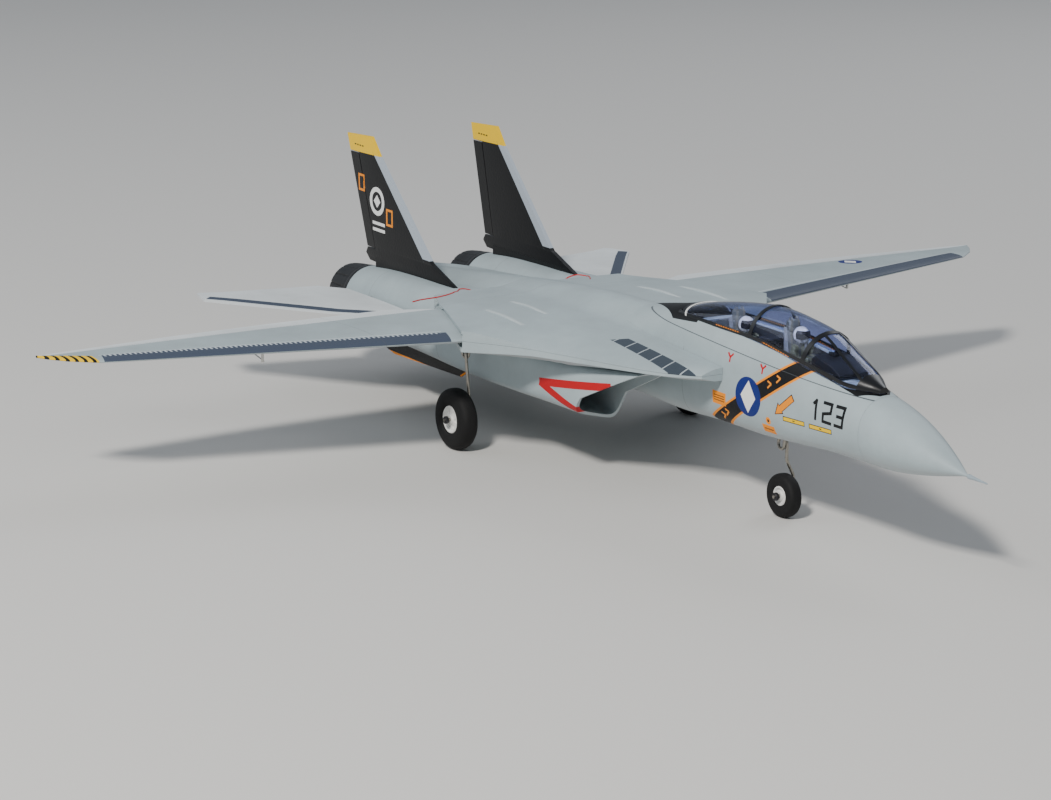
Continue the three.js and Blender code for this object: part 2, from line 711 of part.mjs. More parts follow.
function wing() {
  const outline = rootOutline(0, -FAR);
  const inboard = plate([...outline.slice(0, -1), [-290, 231], [-290, 330]], 140, 200);
  const outboard = plate([[0, 329], [0, 760], [-320, 760], [-320, 329]], 140, 200);
  const servoPocket = box(
    SERVO.x - SERVO.length / 2 - GAP, SERVO.x + SERVO.length / 2 + GAP, SERVO.y - SERVO.width / 2 - GAP,
    SERVO.y + SERVO.width / 2 + GAP, 100, SERVO.bottom + SERVO.height + GAP,
  );
  const bore = bar([PIVOT.x, PIVOT.y, 120], [PIVOT.x, PIVOT.y, 200], 5.5, 16);
  return cut(wingBlank().intersect(join(inboard, outboard)), flapBay(FLAP.gap), servoPocket, bore);
}

function flap() {
  const blade = wingBlank().intersect(flapBay(0));
  const horn = sidePlate([
    [-252, 168], [-258, 167], [-254.5, WING_Z - FLAP.hornLength - 2], [-249.5, WING_Z - FLAP.hornLength - 2],
  ], FLAP_ARM.y - 1, FLAP_ARM.y + 1);
  const pinPassage = bar([-252, 440, WING_Z - FLAP.hornLength], [-252, 480, WING_Z - FLAP.hornLength], 1.2, 8);
  return cut(join(blade, horn), pinPassage);
}

function flapServo() {
  const { x, y, length, width, height, bottom } = SERVO;
  return join(
    box(x - length / 2, x + length / 2, y - width / 2, y + width / 2, bottom, bottom + height),
    bar([FLAP_ARM.x, y - width / 2 + 1, FLAP_ARM.z], [FLAP_ARM.x, FLAP_ARM.y + 1.4, FLAP_ARM.z], 2.5, 10),
  );
}

function servoArm() {
  const { hornLength } = FLAP;
  return join(
    bar([0, -1, 0], [0, 1, 0], 3, 12),
    sidePlate([[-2, 0], [2, 0], [1.4, -hornLength - 1.4], [-1.4, -hornLength - 1.4]], -1, 1),
  );
}

// Push rod with its front pin beside the arm; the rear end stops short inside the horn's hole line.
function pushRod() {
  const rise = WING_Z - FLAP_ARM.z;
  const run = FLAP_ARM.x - (-252);
  return wire([[0, 0, 0], [-run * 0.5, 0, rise * 0.5], [-run, 0, rise]], 0.8);
}

// ---------------------------------------------------------------- tail surfaces
function stabilator() {
  const { z, root, tip } = STABILATOR;
  const slab = plate(STABILATOR_OUTLINE, z - 20, z + 20);
  const ring = (y, leading, trailing, thickness) => foilRing(y, leading, trailing, thickness, z, 0.6);
  const body = solid(skin([
    ring(146, -336, -622, root),
    ring(235, -418, -622, root - 1.5),
    ring(332, -540, -622, tip + 1),
    ring(352, -566, -622, tip),
  ]));
  const socket = bar([STABILATOR.hingeX, 140, z], [STABILATOR.hingeX, 186, z], STABILATOR.shaftRadius + GAP, 12);
  return cut(body.intersect(slab), socket);
}

function stabilatorShaft() {
  const { hingeX: x, z, shaftRadius } = STABILATOR;
  return bar([x, 142.6, z], [x, 185, z], shaftRadius, 12);
}

const finRearX = (z) => along([[188.4, -566], [342.7, -616.6]], z);

function rudderBay(grow) {
  const { bottom, top, chord } = RUDDER;
  return sidePlate([
    [finRearX(bottom) + chord + grow, bottom - grow], [finRearX(top) + chord + grow, top + grow],
    [-FAR, top + grow], [-FAR, bottom - grow],
  ], 0, 200);
}

// Upright surface that thins towards its tip, tilted outboard about its base line.
function finHull(grow) {
  const { y, thickness, base, cant } = FIN;
  const foot = thickness / 2 + grow;
  const full = sidePlate(FIN_OUTLINE, -foot, foot);
  const wedge = [[150, foot], [360, thickness / 4]].map(([z, half]) => [
    new THREE.Vector3(-300, -half, z), new THREE.Vector3(-650, -half, z),
    new THREE.Vector3(-650, half, z), new THREE.Vector3(-300, half, z),
  ]);
  const tapered = full.intersect(solid(skin(wedge)));
  return tapered.translate([0, 0, -base]).rotate([-cant, 0, 0]).translate([0, y, base]);
}

function fin() {
  const tab = finTab(0);
  return cut(join(finHull(0), tab), rudderBay(RUDDER.gap));
}

function rudder() {
  return finHull(0).intersect(rudderBay(0));
}

function ventralFin(grow) {
  const { y, thickness } = VENTRAL;
  const blade = sidePlate(VENTRAL_OUTLINE, y - thickness / 2 - grow, y + thickness / 2 + grow);
  return blade;
}

// ---------------------------------------------------------------- landing gear
// Ring turned about Y from (radius, height) corners, with a flat facet facing the ground.
function turnedRing(profile, sides) {
  const corners = [...profile, profile[0]].map(([r, h]) => new THREE.Vector2(r, h));
  return solid(new THREE.LatheGeometry(corners, sides).rotateY(Math.PI / sides));
}

function tyre({ radius, width, hub, sides }) {
  const rim = radius / Math.cos(Math.PI / sides);
  const half = width / 2;
  return turnedRing([
    [hub + GAP, -half * 0.8], [rim - 7, -half], [rim - 2, -half * 0.8], [rim, -half * 0.45], [rim, half * 0.45],
    [rim - 2, half * 0.8], [rim - 7, half], [hub + GAP, half * 0.8],
  ], sides);
}

function hub({ width, hub: radius, sides }) {
  const half = width * 0.42;
  const bore = WIRE_RADIUS + 2 * GAP;
  return turnedRing([[bore, -half], [radius, -half], [radius, half], [bore, half]], sides);
}

// Pair of collars that keep a wheel in its place on the axle.
function collars({ x, y, radius, width }) {
  const offset = width / 2 + 3.5;
  const ring = (side) => bar([x, y + side * offset - 2.2, radius], [x, y + side * offset + 2.2, radius], 5, 10);
  return join(ring(-1), ring(1));
}

// Main leg: down from the plate, one spring loop's offset, then out through the wheel as its axle.
function mainStrut() {
  const { x, y, radius, width } = MAIN_WHEEL;
  const top = MAIN_PLATE.bottom - GAP;
  const legY = y - width / 2 - 9;
  return join(
    collars(MAIN_WHEEL),
    wire([[MAIN_PLATE.x, legY, top], [MAIN_PLATE.x, legY, top - 20], [x - 1, legY, 66], [x, legY, radius + 4]],
      WIRE_RADIUS),
    wire([[x, legY, radius + 5], [x, legY + 0.6, radius + 1], [x, legY + 5, radius], [x, y + width / 2 + 7, radius]],
      WIRE_RADIUS),
  );
}

function noseStrut() {
  const { x, radius, width } = NOSE_WHEEL;
  const legY = 12;
  return join(
    collars(NOSE_WHEEL),
    wire([
      [NOSE_STEER_X, 0, 108], [NOSE_STEER_X, 0, 84], [NOSE_STEER_X, 0, 70], [NOSE_STEER_X, 5, 60],
      [NOSE_STEER_X, legY + 2, 50], [x, legY + 2, 40], [x, legY + 2, radius + 4],
    ], WIRE_RADIUS),
    wire([
      [x, legY + 2, radius + 5], [x, legY + 1.4, radius + 1], [x, legY - 2, radius],
      [x, -width / 2 - 7, radius],
    ], WIRE_RADIUS),
  );
}

// Steering block in the belly that holds the nose leg.
function noseGearMount() {
  const block = box(NOSE_STEER_X - 15, NOSE_STEER_X + 13, -14, 14, 103, 115.4);
  return cut(block, bar([NOSE_STEER_X, 0, 90], [NOSE_STEER_X, 0, 110], WIRE_RADIUS + GAP, 12));
}

// ---------------------------------------------------------------- assembly
const model = new THREE.Group();

function add(parent, name, body, look, place = [0, 0, 0]) {
  const material = new THREE.MeshStandardMaterial(look);
  const mesh = new THREE.Mesh(surface(body), material);
  mesh.name = name;
  mesh.position.set(...place);
  parent.add(mesh);
  return mesh;
}

const nose = new THREE.Group();
add(nose, "radome", radome(), FINISH.grey);
add(nose, "pitot_probe", pitotProbe(), FINISH.steel);
add(nose, "nose_fuselage", noseFuselage(), FINISH.grey);
add(nose, "battery", box(-75, 75, -23, 23, 0, 42), FINISH.battery, [268, 0, BAY.floor + GAP]);
model.add(nose);

const hatch = new THREE.Group();
add(hatch, "hatch_deck", hatchDeck(), FINISH.grey);
add(hatch, "cockpit_tub", cockpitTub(), FINISH.seat);
add(hatch, "canopy_glass", canopyGlass(), FINISH.smoke);
add(hatch, "canopy_frame", canopyFrame(), FINISH.black);
add(hatch, "coaming", coaming(), FINISH.black);
const CREW = { front: [300, 190], rear: [192, 181] };
for (const [place, [x, z]] of Object.entries(CREW)) {
  add(hatch, `seat_${place}`, seat(), FINISH.seat, [x, 0, z]);
  add(hatch, `pilot_${place}`, pilot(), FINISH.suit, [x, 0, z]);
}
model.add(hatch);

const body = new THREE.Group();
add(body, "upper_shell", upperShell(), FINISH.grey);
add(body, "lower_shell", lowerShell(), FINISH.grey);
add(body, "tail_deck", tailDeck(), FINISH.grey);
model.add(body);

// Pieces that exist once on each side are made for the left side and mirrored.
const LEFT = { name: "left", sign: 1, turn: (shape) => shape };
const RIGHT = { name: "right", sign: -1, turn: mirrored };
for (const side of [LEFT, RIGHT]) {
  const half = new THREE.Group();
  const put = (name, shape, look, place = [0, 0, 0]) =>
    add(half, `${name}_${side.name}`, side.turn(shape), look, [place[0], place[1] * side.sign, place[2]]);
  put("nacelle", nacelle(), FINISH.grey);
  put("fan_housing", fanHousing(), FINISH.plastic, [0, FAN.y, FAN.z]);
  put("fan_rotor", fanRotor(), FINISH.plastic, [0, FAN.y, FAN.z]);
  put("fan_motor", fanMotor(), FINISH.alloy, [0, FAN.y, FAN.z]);
  put("nozzle", nozzle(), FINISH.black, [NOZZLE_FRONT_X - GAP, NOZZLE.y, NOZZLE.z]);
  put("wing", wing(), FINISH.grey);
  put("wing_pivot_pin", bar([0, 0, 151], [0, 0, 176.6], 5, 16), FINISH.steel, [PIVOT.x, PIVOT.y, 0]);
  put("flap", flap(), FINISH.white);
  put("flap_servo", flapServo(), FINISH.plastic);
  put("servo_arm", servoArm(), FINISH.white, [FLAP_ARM.x, FLAP_ARM.y, FLAP_ARM.z]);
  put("push_rod", pushRod(), FINISH.steel, [FLAP_ARM.x, FLAP_ARM.y - 2.2, FLAP_ARM.z - FLAP.hornLength]);
  put("stabilator", stabilator(), FINISH.white);
  put("stabilator_shaft", stabilatorShaft(), FINISH.steel);
  put("fin", fin(), FINISH.black);
  put("rudder", rudder(), FINISH.black);
  put("ventral_fin", ventralFin(0), FINISH.black);
  put("main_gear_plate", mainPlate(0), FINISH.plastic);
  put("main_strut", mainStrut(), FINISH.steel);
  put("main_tyre", tyre(MAIN_WHEEL), FINISH.rubber, [MAIN_WHEEL.x, MAIN_WHEEL.y, MAIN_WHEEL.radius]);
  put("main_hub", hub(MAIN_WHEEL), FINISH.white, [MAIN_WHEEL.x, MAIN_WHEEL.y, MAIN_WHEEL.radius]);
  model.add(half);
}

const noseGear = new THREE.Group();
add(noseGear, "nose_gear_mount", noseGearMount(), FINISH.plastic);
add(noseGear, "nose_strut", noseStrut(), FINISH.steel);
add(noseGear, "nose_tyre", tyre(NOSE_WHEEL), FINISH.rubber, [NOSE_WHEEL.x, 0, NOSE_WHEEL.radius]);
add(noseGear, "nose_hub", hub(NOSE_WHEEL), FINISH.white, [NOSE_WHEEL.x, 0, NOSE_WHEEL.radius]);
model.add(noseGear);

export default model;
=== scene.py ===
import math

import bmesh
import bpy
from mathutils import Matrix, Vector


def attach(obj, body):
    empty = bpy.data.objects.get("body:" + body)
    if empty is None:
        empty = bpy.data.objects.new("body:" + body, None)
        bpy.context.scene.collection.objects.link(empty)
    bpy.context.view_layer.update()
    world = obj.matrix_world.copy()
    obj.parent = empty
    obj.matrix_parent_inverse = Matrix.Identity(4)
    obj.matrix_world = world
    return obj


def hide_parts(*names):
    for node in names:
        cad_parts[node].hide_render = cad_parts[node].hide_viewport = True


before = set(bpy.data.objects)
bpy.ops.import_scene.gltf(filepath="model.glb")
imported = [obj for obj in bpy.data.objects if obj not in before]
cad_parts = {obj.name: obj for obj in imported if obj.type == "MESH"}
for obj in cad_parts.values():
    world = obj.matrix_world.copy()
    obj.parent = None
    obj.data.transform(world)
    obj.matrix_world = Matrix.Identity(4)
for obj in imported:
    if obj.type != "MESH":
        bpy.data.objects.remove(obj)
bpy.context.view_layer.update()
MM = 0.001

# ---------------------------------------------------------------- camera
# A long lens looks down on the right side of the nose from a low front quarter.
CAMERA_PLACE = Vector((3.0046, -2.1159, 1.0214))
CAMERA_AZIMUTH = math.radians(57.3826)
CAMERA_ELEVATION = math.radians(14.3939)
CAMERA_ROLL = math.radians(1.0273)


def camera_axes():
    """Right, up and back directions of the camera, as columns."""
    sin_a, cos_a = math.sin(CAMERA_AZIMUTH), math.cos(CAMERA_AZIMUTH)
    sin_e, cos_e = math.sin(CAMERA_ELEVATION), math.cos(CAMERA_ELEVATION)
    right = Vector((cos_a, sin_a, 0))
    forward = Vector((-sin_a * cos_e, cos_a * cos_e, -sin_e))
    up = right.cross(forward)
    rolled_right = right * math.cos(CAMERA_ROLL) + up * math.sin(CAMERA_ROLL)
    rolled_up = up * math.cos(CAMERA_ROLL) - right * math.sin(CAMERA_ROLL)
    return Matrix((rolled_right, rolled_up, -forward)).transposed()


bpy.ops.object.camera_add()
camera = bpy.context.object
camera.name = "camera"
camera.data.lens = 102.07
camera.data.sensor_width = 36
camera.data.clip_end = 50
camera.matrix_world = Matrix.Translation(CAMERA_PLACE) @ camera_axes().to_4x4()
bpy.context.scene.camera = camera

# ---------------------------------------------------------------- floor and lights
# A plain pale floor under one large key light from the front right, with soft fill all round.
bpy.ops.mesh.primitive_plane_add(size=60)
floor = bpy.context.object
floor.name = "studio_floor"
floor_paint = bpy.data.materials.new("pale_floor")
floor_paint.use_nodes = True
floor_shader = floor_paint.node_tree.nodes["Principled BSDF"]
floor_shader.inputs["Base Color"].default_value = (0.62, 0.61, 0.59, 1)
floor_shader.inputs["Roughness"].default_value = 0.9
floor.data.materials.append(floor_paint)


def area_light(name, place, aim, size, power, color=(1, 1, 1)):
    bpy.ops.object.light_add(type="AREA", location=place)
    lamp = bpy.context.object
    lamp.name = name
    lamp.data.size = size
    lamp.data.energy = power
    lamp.data.color = color
    lamp.rotation_euler = (Vector(aim) - Vector(place)).to_track_quat("-Z", "Y").to_euler()


area_light("key_light", (2.6, -4.0, 4.3), (0, 0, 0.1), 0.7, 430, (1, 0.97, 0.92))
area_light("fill_light", (-3.5, -3.0, 3.0), (0, 0, 0.1), 3.5, 45, (0.9, 0.95, 1))
area_light("back_light", (-1.5, 4.5, 3.5), (0, 0, 0.1), 3, 70, (0.95, 0.97, 1))
world = bpy.data.worlds.new("studio")
world.use_nodes = True
world.node_tree.nodes["Background"].inputs["Color"].default_value = (0.75, 0.82, 0.92, 1)
world.node_tree.nodes["Background"].inputs["Strength"].default_value = 0.36
bpy.context.scene.world = world

# ---------------------------------------------------------------- nose: radome and fuselage
# The nose is moulded foam, glued up from shells with a painted skin. The radome is a separate
# cone that meets it at a ring joint, and the belly holds an open bay under the cockpit hatch.
NOSE_TIP_X = 606
NOSE_TIP_Z = 132.6
RADOME_JOINT_X = 459.7
SEAM = 0.35
NOSE_RINGS = [
    [459.4, 39.5, 190.4, 150, 109, 2.1],
    [430, 41, 198, 151, 108.5, 2.2],
    [400, 42, 206, 152, 108.5, 2.4],
    [341, 44.5, 220, 152, 105, 2.8],
    [266, 47, 226, 153, 100, 3],
    [184, 49, 228.5, 154, 98.5, 3],
    [93, 50, 226.4, 155, 94, 3],
    [48, 50, 217.6, 155, 94, 2.8],
    [0, 50, 208.5, 155, 94, 2.6],
]


def deselect():
    bpy.ops.object.select_all(action="DESELECT")


def take(piece):
    """Makes one object the only selected and active one."""
    deselect()
    piece.select_set(True)
    bpy.context.view_layer.objects.active = piece


def smooth_row(rows, key):
    """Values of a table at a key, on smooth curves through its rows. Keys run either way."""
    table = rows if rows[0][0] < rows[-1][0] else rows[::-1]
    if key <= table[0][0]:
        return list(table[0][1:])
    if key >= table[-1][0]:
        return list(table[-1][1:])
    at = next(i for i in range(1, len(table)) if key <= table[i][0]) - 1
    low, high = table[at], table[at + 1]
    span = high[0] - low[0]
    t = (key - low[0]) / span
    result = []
    for c in range(1, len(low)):
        slope = (high[c] - low[c]) / span
        before = (low[c] - table[at - 1][c]) / (low[0] - table[at - 1][0]) if at > 0 else slope
        after = (table[at + 2][c] - high[c]) / (table[at + 2][0] - high[0]) if at + 2 < len(table) else slope
        start = (before + slope) / 2 if before * slope > 0 else 0
        end = (after + slope) / 2 if after * slope > 0 else 0
        a = (2 * t ** 3 - 3 * t ** 2 + 1) * low[c] + (3 * t ** 2 - 2 * t ** 3) * high[c]
        b = (t ** 3 - 2 * t ** 2 + t) * span * start + (t ** 3 - t ** 2) * span * end
        result.append(a + b)
    return result


def straight(rows, key):
    """Value of a two-column table at a key, on straight lines."""
    table = rows if rows[0][0] < rows[-1][0] else rows[::-1]
    if key <= table[0][0]:
        return table[0][1]
    for low, high in zip(table, table[1:]):
        if key <= high[0]:
            return low[1] + (high[1] - low[1]) * (key - low[0]) / (high[0] - low[0])
    return table[-1][1]


def steps(start, end, count):
    return [start + (end - start) * i / count for i in range(count + 1)]


def rounded_ring(x, y, half, top, middle, bottom, squareness, cant=0, count=64, grow=0):
    """Ring of a rounded box section at a station, in millimetres."""
    points = []
    for k in range(count):
        angle = (k + 0.5) / count * 2 * math.pi
        across = math.copysign(abs(math.cos(angle)) ** (2 / squareness), math.cos(angle))
        up = math.copysign(abs(math.sin(angle)) ** (2 / squareness), math.sin(angle))
        side = across * (half + grow)
        rise = up * ((top - middle if up > 0 else middle - bottom) + grow)
        points.append((x, y + side, middle + rise + (0 if up > 0 else cant * side)))
    return points


def finished(shell, name):
    """Object made from a mesh that has just been drawn, with its faces turned outward."""
    bmesh.ops.recalc_face_normals(shell, faces=shell.faces)
    mesh = bpy.data.meshes.new(name)
    shell.to_mesh(mesh)
    shell.free()
    piece = bpy.data.objects.new(name, mesh)
    bpy.context.scene.collection.objects.link(piece)
    return piece


def skinned(name, rings, closed_ends=True):
    """Closed piece through rings of equal point counts, capped by strips across its end rings."""
    shell = bmesh.new()
    count = len(rings[0])
    verts = [[shell.verts.new(Vector(p) * MM) for p in ring] for ring in rings]
    for low, high in zip(verts, verts[1:]):
        for k in range(count):
            after = (k + 1) % count
            shell.faces.new((low[k], low[after], high[after], high[k]))
    for ring in (verts[0], verts[-1]) if closed_ends else ():
        for k in range((count - 1) // 2):
            corners = [ring[k], ring[k + 1], ring[count - 2 - k], ring[count - 1 - k]]
            shell.faces.new(list(dict.fromkeys(corners)))
    return finished(shell, name)


def combine(piece, tool, operation="DIFFERENCE", keep_tool=False):
    """Boolean of a piece with a tool, applied at once."""
    take(piece)
    modifier = piece.modifiers.new("combine", "BOOLEAN")
    modifier.operation = operation
    modifier.solver = "MANIFOLD"
    modifier.object = tool
    bpy.ops.object.modifier_apply(modifier=modifier.name)
    if not keep_tool:
        bpy.data.objects.remove(tool)
    return piece


def block(name, low, high):
    """Box between two corners in millimetres."""
    deselect()
    bpy.ops.mesh.primitive_cube_add(size=1)
    piece = bpy.context.object
    piece.name = name
    size = [b - a for a, b in zip(low, high)]
    middle = [(a + b) / 2 * MM for a, b in zip(low, high)]
    piece.data.transform(Matrix.Translation(middle) @ Matrix.Diagonal([s * MM for s in size] + [1]))
    return piece


def extruded(name, outline, low, high, upright=False):
    """Flat outline drawn out from low to high: along Z from (x, y), or along Y from (x, z) points."""
    place = (lambda a, b, c: (a, c, b)) if upright else (lambda a, b, c: (a, b, c))
    shell = bmesh.new()
    face = shell.faces.new([shell.verts.new(Vector(place(a, b, low)) * MM) for a, b in outline])
    drawn = bmesh.ops.extrude_face_region(shell, geom=[face])["geom"]
    shift = (Vector(place(0, 0, high)) - Vector(place(0, 0, low))) * MM
    bmesh.ops.translate(shell, vec=shift, verts=[g for g in drawn if isinstance(g, bmesh.types.BMVert)])
    return finished(shell, name)


def rounded_edges(piece, width, angle=35, segments=3):
    """Bevels the piece's sharp edges by a width in millimetres."""
    take(piece)
    modifier = piece.modifiers.new("edges", "BEVEL")
    modifier.width = width * MM
    modifier.segments = segments
    modifier.limit_method = "ANGLE"
    modifier.angle_limit = math.radians(angle)
    modifier.use_clamp_overlap = True
    bpy.ops.object.modifier_apply(modifier=modifier.name)
    return piece


def mirrored(piece):
    """The same piece, its mesh now on the other side of the middle plane."""
    piece.data.transform(Matrix.Diagonal((1, -1, 1, 1)))
    piece.data.flip_normals()
    return piece


def mirror_copy(piece, name):
    """Copy of a piece on the other side of the middle plane, with its own mesh."""
    other = piece.copy()
    other.data = piece.data.copy()
    other.name = name
    bpy.context.scene.collection.objects.link(other)
    return mirrored(other)


def settle(piece, material, body, slot, *nodes, angle=32):
    """Smooth shading, finish, body and the CAD nodes that the piece stands for. The slot argument is not
    used.
    """
    take(piece)
    bpy.ops.object.shade_smooth_by_angle(angle=math.radians(angle))
    piece.data.materials.clear()
    piece.data.materials.append(material)
    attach(piece, body)
    if nodes:
        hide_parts(*nodes)
    return piece


def refinish(material, *names):
    """New finish on CAD pieces that are shown as they are."""
    for name in names:
        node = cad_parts[name]
        node.data.materials.clear()
        node.data.materials.append(material)


class Shader:
    """Short way to lay out one material's nodes around its Principled BSDF."""

    def __init__(self, name):
        self.material = bpy.data.materials.new(name)
        self.material.use_nodes = True
        self.tree = self.material.node_tree
        self.surface = self.tree.nodes["Principled BSDF"]

    def node(self, kind, **settings):
        made = self.tree.nodes.new(kind)
        for key, value in settings.items():
            setattr(made, key, value)
        return made

    def feed(self, socket, value):
        if isinstance(value, bpy.types.NodeSocket):
            self.tree.links.new(value, socket)
        else:
            socket.default_value = value

    def noise(self, place, scale, detail):
        """Cloud noise over a place, as its value."""
        made = self.node("ShaderNodeTexNoise")
        made.inputs["Scale"].default_value = scale
        made.inputs["Detail"].default_value = detail
        self.feed(made.inputs["Vector"], place)
        return made.outputs["Fac"]

    def paint(self, tint, rough):
        self.feed(self.surface.inputs["Base Color"], tint)
        self.feed(self.surface.inputs["Roughness"], rough)

    def bump(self, height, strength, distance):
        made = self.node("ShaderNodeBump")
        made.inputs["Strength"].default_value = strength
        made.inputs["Distance"].default_value = distance
        self.feed(made.inputs["Height"], height)
        self.feed(self.surface.inputs["Normal"], made.outputs[0])

    def math(self, operation, a, b=0.0, clamp=False):
        made = self.node("ShaderNodeMath", operation=operation, use_clamp=clamp)
        self.feed(made.inputs[0], a)
        self.feed(made.inputs[1], b)
        return made.outputs[0]

    def times(self, a, b, clamp=False):
        return self.math("MULTIPLY", a, b, clamp)

    def plus(self, a, b, clamp=False):
        return self.math("ADD", a, b, clamp)

    def minus(self, a, b, clamp=False):
        return self.math("SUBTRACT", a, b, clamp)

    def above(self, a, limit):
        return self.math("GREATER_THAN", a, limit)

    def below(self, a, limit):
        return self.math("LESS_THAN", a, limit)

    def size(self, a):
        return self.math("ABSOLUTE", a)

    def mix(self, share, first, second):
        made = self.node("ShaderNodeMix", data_type="RGBA")
        self.feed(made.inputs["Factor"], share)
        for socket, value in ((made.inputs[6], first), (made.inputs[7], second)):
            self.feed(socket, value if isinstance(value, bpy.types.NodeSocket) else (*value, 1))
        return made.outputs[2]

    def place(self):
        """Object coordinates as separate x, y and z sockets, and as one vector."""
        vector = self.node("ShaderNodeTexCoord").outputs["Object"]
        split = self.node("ShaderNodeSeparateXYZ")
        self.tree.links.new(vector, split.inputs[0])
        return split.outputs[0], split.outputs[1], split.outputs[2], vector

    def group(self, tree, **inputs):
        made = self.node("ShaderNodeGroup", node_tree=tree)
        for key, value in inputs.items():
            self.feed(made.inputs[key.replace("_", " ")], value)
        return made


def group_tree(name, inputs, outputs):
    """Empty shader node group with float or vector inputs and outputs."""
    tree = bpy.data.node_groups.new(name, "ShaderNodeTree")
    kinds = {"v": "NodeSocketVector", "f": "NodeSocketFloat"}
    for label, kind in inputs:
        tree.interface.new_socket(label, in_out="INPUT", socket_type=kinds[kind])
    for label, kind in outputs:
        tree.interface.new_socket(label, in_out="OUTPUT", socket_type=kinds[kind])
    return tree, tree.nodes.new("NodeGroupInput").outputs, tree.nodes.new("NodeGroupOutput").inputs


def group_math(tree, operation, a, b=0.0, clamp=False):
    made = tree.nodes.new("ShaderNodeMath")
    made.operation = operation
    made.use_clamp = clamp
    for socket, value in ((made.inputs[0], a), (made.inputs[1], b)):
        if isinstance(value, bpy.types.NodeSocket):
            tree.links.new(value, socket)
        else:
            socket.default_value = value
    return made.outputs[0]


def make_foam_skin():
    """Painted bead foam: faint dimples between the beads, broad waves in the skin and grimy patches."""
    tree, inputs, outputs = group_tree(
        "foam_skin", [("Place", "v"), ("Bead size", "f"), ("Depth", "f")], [("Height", "f"), ("Tone", "f")])
    beads = tree.nodes.new("ShaderNodeTexVoronoi")
    beads.feature = "SMOOTH_F1"
    beads.inputs["Smoothness"].default_value = 0.6
    scale = group_math(tree, "DIVIDE", 1.0, inputs["Bead size"])
    tree.links.new(inputs["Place"], beads.inputs["Vector"])
    tree.links.new(scale, beads.inputs["Scale"])
    waves = tree.nodes.new("ShaderNodeTexNoise")
    waves.inputs["Scale"].default_value = 9
    waves.inputs["Detail"].default_value = 2
    patches = tree.nodes.new("ShaderNodeTexNoise")
    patches.inputs["Scale"].default_value = 30
    patches.inputs["Detail"].default_value = 5
    patches.inputs["Roughness"].default_value = 0.65
    tree.links.new(inputs["Place"], waves.inputs["Vector"])
    tree.links.new(inputs["Place"], patches.inputs["Vector"])
    dimple = group_math(tree, "MULTIPLY", beads.outputs["Distance"], inputs["Depth"])
    swell = group_math(tree, "MULTIPLY", waves.outputs["Fac"], 1.4)
    tree.links.new(group_math(tree, "SUBTRACT", swell, dimple), outputs["Height"])
    broad = group_math(tree, "MULTIPLY", waves.outputs["Fac"], 0.5)
    fine = group_math(tree, "MULTIPLY", patches.outputs["Fac"], 0.5)
    tree.links.new(group_math(tree, "ADD", broad, fine), outputs["Tone"])
    return tree


POINT = [("Along", "f"), ("Up", "f")]
LINE_ENDS = [("From along", "f"), ("From up", "f"), ("To along", "f"), ("To up", "f")]


def line_offsets(tree, inputs):
    """From the line's start to its end, then from its start to the point, each as along and up."""
    pairs = (("To along", "From along"), ("To up", "From up"), ("Along", "From along"), ("Up", "From up"))
    return [group_math(tree, "SUBTRACT", inputs[to], inputs[start]) for to, start in pairs]


def make_box_mark():
    """Mask of a rectangle with crisp edges: 1 inside, 0 outside."""
    tree, inputs, outputs = group_tree(
        "box_mark",
        [*POINT, ("Middle along", "f"), ("Middle up", "f"), ("Half along", "f"), ("Half up", "f")],
        [("Mask", "f")])
    sides = []
    for value, middle, half in (("Along", "Middle along", "Half along"), ("Up", "Middle up", "Half up")):
        offset = group_math(tree, "ABSOLUTE", group_math(tree, "SUBTRACT", inputs[value], inputs[middle]))
        sides.append(group_math(tree, "LESS_THAN", offset, inputs[half]))
    tree.links.new(group_math(tree, "MULTIPLY", *sides), outputs["Mask"])
    return tree


def make_disc_mark():
    """Distance of a point from a disc's middle, and the mask of the disc."""
    tree, inputs, outputs = group_tree(
        "disc_mark", [*POINT, ("Middle along", "f"), ("Middle up", "f"), ("Radius", "f")],
        [("Mask", "f"), ("Distance", "f")])
    along = group_math(tree, "SUBTRACT", inputs["Along"], inputs["Middle along"])
    up = group_math(tree, "SUBTRACT", inputs["Up"], inputs["Middle up"])
    squares = group_math(tree, "ADD", group_math(tree, "POWER", group_math(tree, "ABSOLUTE", along), 2.0),
                         group_math(tree, "POWER", group_math(tree, "ABSOLUTE", up), 2.0))
    distance = group_math(tree, "SQRT", squares)
    tree.links.new(distance, outputs["Distance"])
    tree.links.new(group_math(tree, "LESS_THAN", distance, inputs["Radius"]), outputs["Mask"])
    return tree


def make_band_mark():
    """Mask of a straight band between two points, with square ends."""
    tree, inputs, outputs = group_tree(
        "band_mark", [*POINT, *LINE_ENDS, ("Half width", "f")], [("Mask", "f")])
    run, rise, dx, dz = line_offsets(tree, inputs)
    length = group_math(tree, "SQRT", group_math(
        tree, "ADD", group_math(tree, "MULTIPLY", run, run), group_math(tree, "MULTIPLY", rise, rise)))
    east = group_math(tree, "DIVIDE", run, length)
    north = group_math(tree, "DIVIDE", rise, length)
    down_band = group_math(
        tree, "ADD", group_math(tree, "MULTIPLY", dx, east), group_math(tree, "MULTIPLY", dz, north))
    across = group_math(tree, "ABSOLUTE", group_math(
        tree, "SUBTRACT", group_math(tree, "MULTIPLY", dz, east), group_math(tree, "MULTIPLY", dx, north)))
    inside = group_math(tree, "MULTIPLY", group_math(tree, "GREATER_THAN", down_band, 0.0),
                        group_math(tree, "LESS_THAN", down_band, length))
    narrow = group_math(tree, "LESS_THAN", across, inputs["Half width"])
    tree.links.new(group_math(tree, "MULTIPLY", inside, narrow), outputs["Mask"])
    return tree


